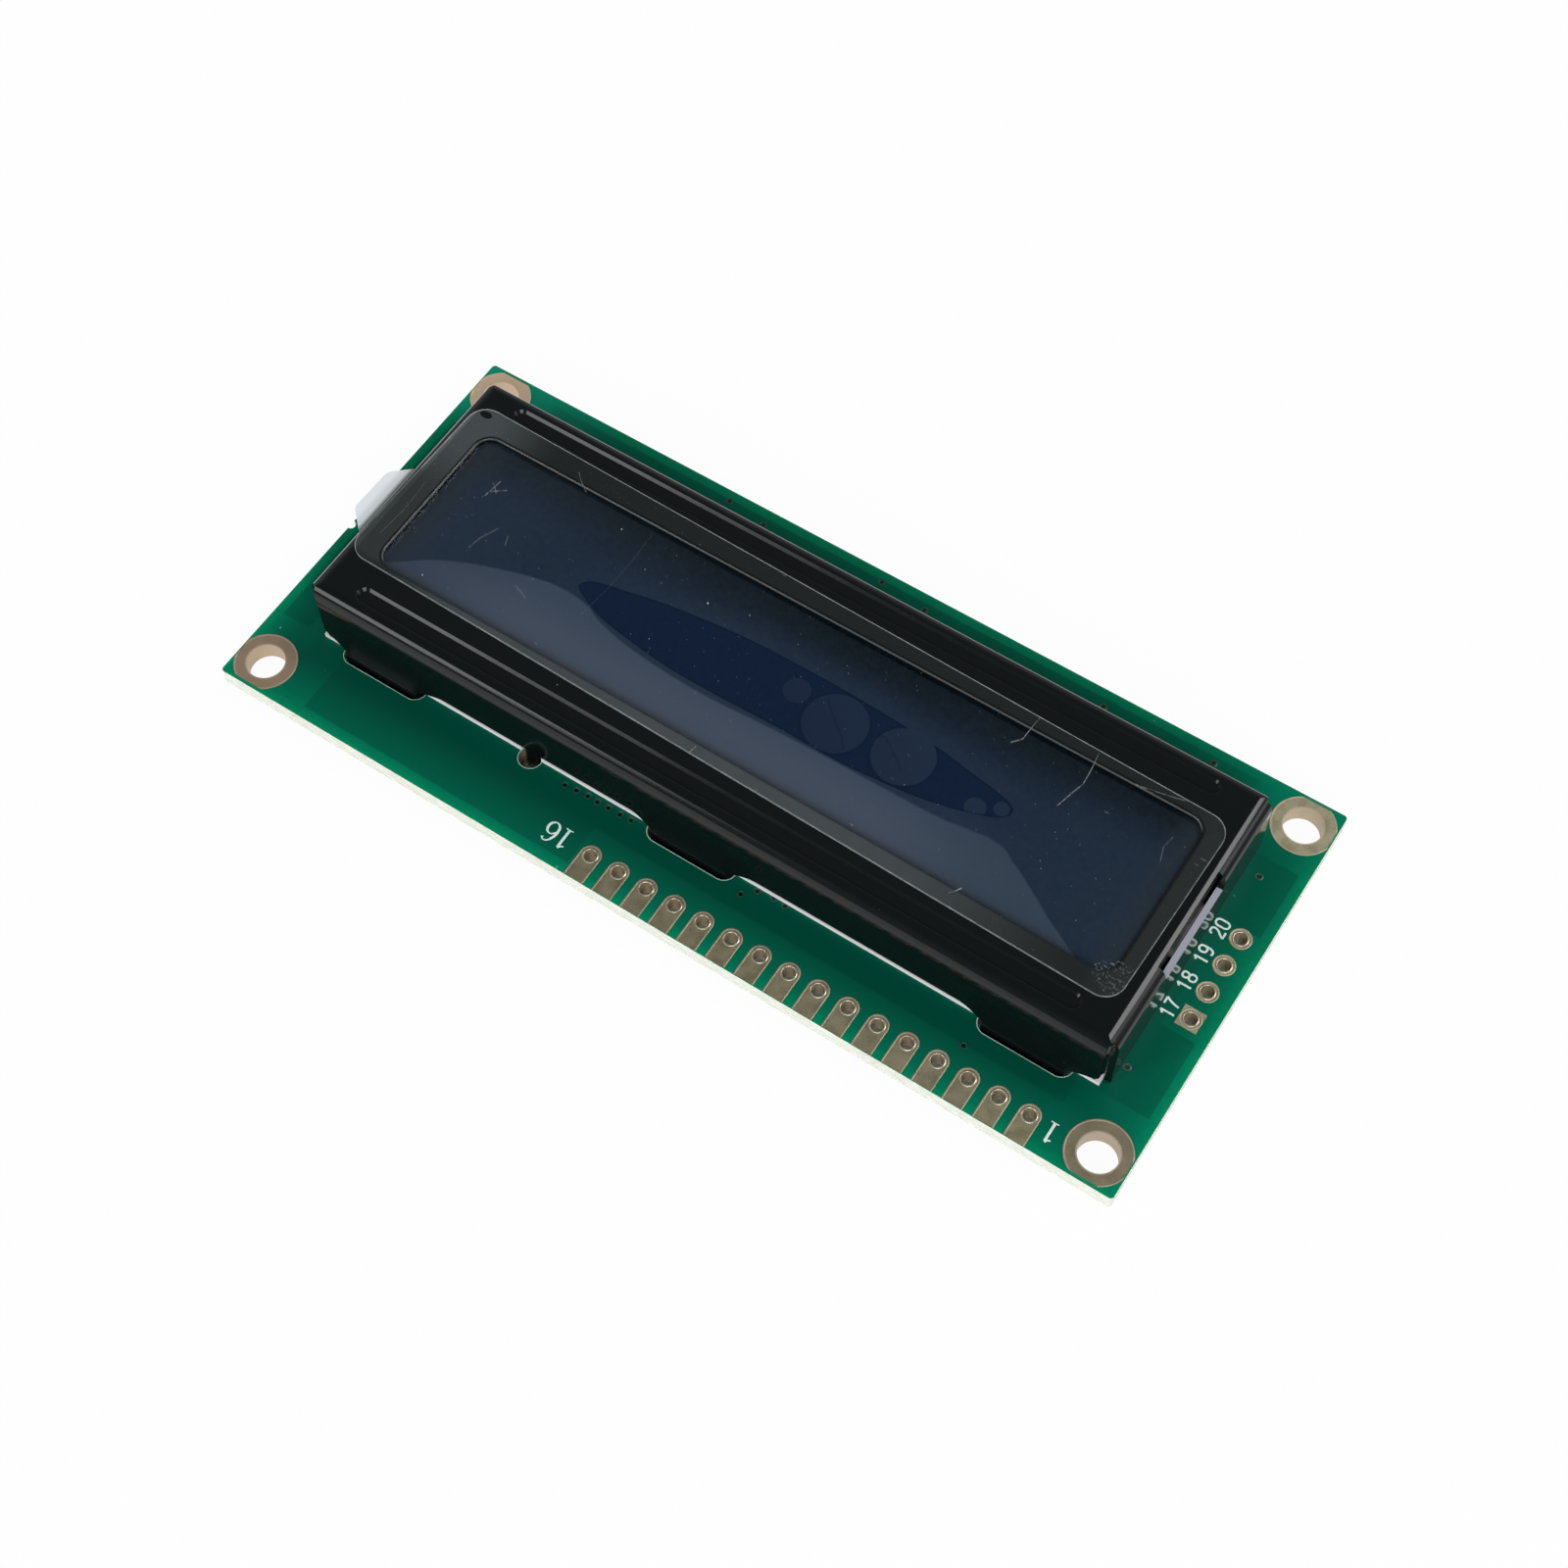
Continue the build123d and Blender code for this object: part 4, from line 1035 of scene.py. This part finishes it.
# Its cut edge has a thin uneven painted highlight, and so does its bend over the window's far rim; its cut
# faces are painted pale as a highlight too
uneven_highlight = between(tree, clouds(tree, spot, 0.9, 5.0), 0.3, 0.7, 0.1, 0.36)
marks_and_highlights.append(times(tree, between(tree, from_film_edge, -0.09, -0.04), uneven_highlight))
far_side = largest(tree, between(tree, y, -7.0, -7.8), between(tree, x, 31.6, 32.2))
dip_highlight = between(tree, away(tree, from_window, -0.06), 0.09, 0.03)
marks_and_highlights.append(times(tree, dip_highlight, far_side, 0.07))
normal_z = facing_up(tree)
marks_and_highlights.append(times(tree, calc(tree, "LESS_THAN", unsigned(tree, normal_z), 0.5), 0.3))
marks_and_highlights_mask = largest(tree, *marks_and_highlights)
alpha = plus(tree, marks_and_highlights_mask, times(tree, haze_and_sheen, minus(tree, 1.0, marks_and_highlights_mask)))
marks_and_highlights_share = calc(tree, "DIVIDE", marks_and_highlights_mask, largest(tree, alpha, 0.001))
not_below = minus(tree, 1.0, calc(tree, "LESS_THAN", normal_z, -0.5))
film_colour = tint(tree, marks_and_highlights_share, haze_sheen_colour, paint(232, 236, 238))
feed(tree, shader, Base_Color=film_colour, Alpha=times(tree, alpha, not_below))
dress(clear_finish, "protective_film")

# Pull tab
# A frosted strip on the end of the protective film, for peeling it off. It looks clear where it sticks to
# the bezel.
frost_finish, tree, shader = new_finish("frosted_tab", Roughness=0.5)
spot, x, y, z = place_in_mm(tree)
tone = clouds(tree, spot, 0.25, 18.0)
frost = tint(tree, tone, paint(238, 244, 250), paint(250, 253, 255))
frost = stain(tree, frost, (180, 186, 190), between(tree, x, 36.2, 35.5, 0.0, 0.5))
stuck = between(tree, x, 35.5, 34.9)
frost = stain(tree, frost, (84, 90, 92), stuck)
white_share = plus(tree, 0.88, times(tree, tone, 0.1))
alpha = times(tree, white_share, between(tree, stuck, 0.0, 1.0, 1.0, 0.3))
feed(tree, shader, Base_Color=frost, Alpha=alpha)
dress(frost_finish, "pull_tab")

# Chip covers
# Two domes of black epoxy that was poured over the bare chips and set, with a satin, slightly uneven skin.
cover_finish = cloudy_finish(
    "black_epoxy", 0.35, 9.0, (18, 18, 19), (38, 38, 39), ends=(0.3, 0.7), rough=(0.28, 0.3),
    depth=(0.4, 0.0002), Specular_IOR_Level=0.45,
)
dress(cover_finish, "chip_cover_left", "chip_cover_right")

# Chip resistors and capacitors
# Ceramic blocks with wrapped tin caps at both ends; the resistors have a black glaze, the capacitors are tan.
cap_start = 0.6


def chip_finish(name, centre_x, dark, light):
    """A glazed middle between tinned end caps, for the parts in one column."""
    material, tree, shader = new_finish(name)
    spot, x, y, z = place_in_mm(tree)
    cap = calc(tree, "GREATER_THAN", away(tree, x, centre_x), cap_start)
    tone = clouds(tree, spot, 1.6, 8.0)
    body = tint(tree, tone, paint(*dark), paint(*light))
    tin = tint(tree, tone, paint(168, 167, 162), paint(214, 213, 208))
    rough = between(tree, cap, 0.0, 1.0, 0.4, 0.32)
    feed(tree, shader, Base_Color=tint(tree, cap, body, tin), Metallic=cap, Roughness=rough)
    return material


glaze = ((14, 14, 15), (30, 30, 32))
dress(chip_finish("resistor_left", -29.0, *glaze), *[f"resistor_{number}" for number in range(1, 6)])
dress(chip_finish("resistor_middle", -1.0, *glaze), *[f"resistor_{number}" for number in range(6, 9)])
dress(chip_finish("capacitor", 26.5, (150, 118, 88), (178, 146, 112)), "capacitor_1", "capacitor_2")

# Solder joints
# Bright cones of solder round the two leads and over the earth pin.
solder_finish = cloudy_finish(
    "solder", 0.8, 7.0, (188, 188, 186), (226, 226, 224), rough=(0.14, 0.25), depth=(0.5, 0.0001),
    Metallic=1.0,
)
dress(solder_finish, "solder_joints")

# Floor
# A plain white table top, wide enough for every view, which keeps the module's soft shadow. Its mirror image
# in the bezel's bends grows dim away from the board. Under the module it gives only a faint light, by which
# the back can be seen.
floor_half = 1.5
shape = bmesh.new()
corner_signs = ((-1, -1), (1, -1), (1, 1), (-1, 1))
shape.faces.new([shape.verts.new((sx * floor_half, sy * floor_half, 0.0)) for sx, sy in corner_signs])
mesh = bpy.data.meshes.new("floor")
shape.to_mesh(mesh)
shape.free()
floor = bpy.data.objects.new("floor", mesh)
bpy.context.scene.collection.objects.link(floor)
floor_finish = bpy.data.materials.new("white_table")
floor_finish.use_nodes = True
tree = floor_finish.node_tree
tree.nodes.clear()
rays = add(tree, "LightPath").outputs
seen = largest(tree, rays["Is Camera Ray"], rays["Is Glossy Ray"], rays["Is Transmission Ray"])
spot, x, y, z = place_in_mm(tree)
under_middle = inside(tree, x, y, -34.5, 34.5, -17.0, 17.0, soft=0.5)
under_ends = inside(tree, x, y, -39.5, 39.5, -12.0, 12.0, soft=0.5)
beneath = largest(tree, under_middle, under_ends)
from_board = rounded_reach(tree, x, y, board_half_x, board_half_y, 1.0)
mirrored = times(tree, rays["Is Glossy Ray"], between(tree, from_board, 4.0, 45.0))
dimmed = minus(tree, 1.0, times(tree, mirrored, 0.85))
under_light = times(tree, beneath, rays["Is Diffuse Ray"], 0.4)
glow = plus(tree, times(tree, seen, 0.96, minus(tree, 1.0, beneath), dimmed), under_light)
matt_colour = tint(tree, mirrored, paint(245, 245, 245), paint(90, 90, 90))
matt = add(tree, "BsdfDiffuse", {"Color": matt_colour}).outputs[0]
white = add(tree, "Emission", {"Color": (1.0, 1.0, 1.0, 1.0), "Strength": 1.0}).outputs[0]
lit = add(tree, "MixShader", {0: glow, 1: matt, 2: white}).outputs[0]
clear = add(tree, "BsdfTransparent").outputs[0]
below_floor = times(tree, add(tree, "NewGeometry").outputs["Backfacing"], rays["Is Camera Ray"])
surface = add(tree, "MixShader", {0: below_floor, 1: lit, 2: clear}).outputs[0]
tree.links.new(surface, add(tree, "OutputMaterial").inputs["Surface"])
floor.data.materials.append(floor_finish)

# Studio light
# White walls under a dark ceiling, dimmer on the camera's side, a large soft lamp beside the camera, two low
# lamps past the pins that draw the highlight along the near bend, and two past the port's end for its bend.
world = bpy.data.worlds.new("studio")
bpy.context.scene.world = world
world.use_nodes = True
tree = world.node_tree
tree.nodes.clear()
heading = add(tree, "SeparateXYZ", {0: add(tree, "TexCoord").outputs["Generated"]}).outputs
ramp = add(tree, "ValToRGB", {0: heading[2]})
wall_steps = ((0.0, 0.55), (0.2, 0.5), (0.5, 0.25), (0.8, 0.11), (1.0, 0.06))
set_ramp(ramp, [(stop, (level, level, level, 1.0)) for stop, level in wall_steps])
camera_side = between(tree, heading[1], -0.2, 0.5, 1.0, 0.35)
walls = add(tree, "VectorMath", {0: ramp.outputs[0], "Scale": camera_side}, operation="SCALE").outputs[0]
rays = add(tree, "LightPath").outputs
mirrored = times(tree, rays["Is Glossy Ray"], 0.1)
seen = largest(tree, rays["Is Camera Ray"], mirrored, rays["Is Transmission Ray"])
walls = tint(tree, seen, walls, (1.0, 1.0, 1.0, 1.0))
glow = add(tree, "Background", {"Color": walls, "Strength": 1.0}).outputs[0]
tree.links.new(glow, add(tree, "OutputWorld").inputs["Surface"])


def softbox(name, direction, how_far, width, height, radiance, across=None):
    """A soft rectangular lamp that faces the module, given its face's brightness and how its width lies."""
    lamp = bpy.data.lights.new(name, "AREA")
    lamp.shape = "RECTANGLE"
    lamp.size = width
    lamp.size_y = height
    lamp.energy = radiance * math.pi * width * height
    holder = bpy.data.objects.new(name, lamp)
    place = Vector(direction).normalized()
    holder.location = place * how_far
    holder.rotation_mode = "QUATERNION"
    holder.rotation_quaternion = place.to_track_quat("Z", "Y")
    if across:
        side = (Vector(across) - place * place.dot(Vector(across))).normalized()
        holder.rotation_quaternion = Matrix((side, place.cross(side), place)).transposed().to_quaternion()
    bpy.context.scene.collection.objects.link(holder)


def toward(turn, rise):
    """The direction at these degrees from +X and above the table."""
    turn = math.radians(turn)
    rise = math.radians(rise)
    return math.cos(rise) * math.cos(turn), math.cos(rise) * math.sin(turn), math.sin(rise)


softbox("lamp_by_camera", (-0.45, 0.62, 0.65), 0.8, 0.55, 0.45, 5.8)
softbox("lamp_past_pins", toward(57.5, 19.0), 0.7, 0.172, 0.428, 5.6)
softbox("lamp_past_pins_soft", toward(67.5, 19.0), 0.7, 0.074, 0.428, 2.2)
softbox("lamp_left_end", (-0.4, -0.43, 0.81), 0.72, 0.3, 0.16, 8.5, across=(1, 0, 0))
softbox("lamp_left_end_soft", (-0.74, -0.42, 0.48), 0.7, 0.12, 0.36, 2.2)

bpy.context.scene.view_settings.view_transform = "Standard"
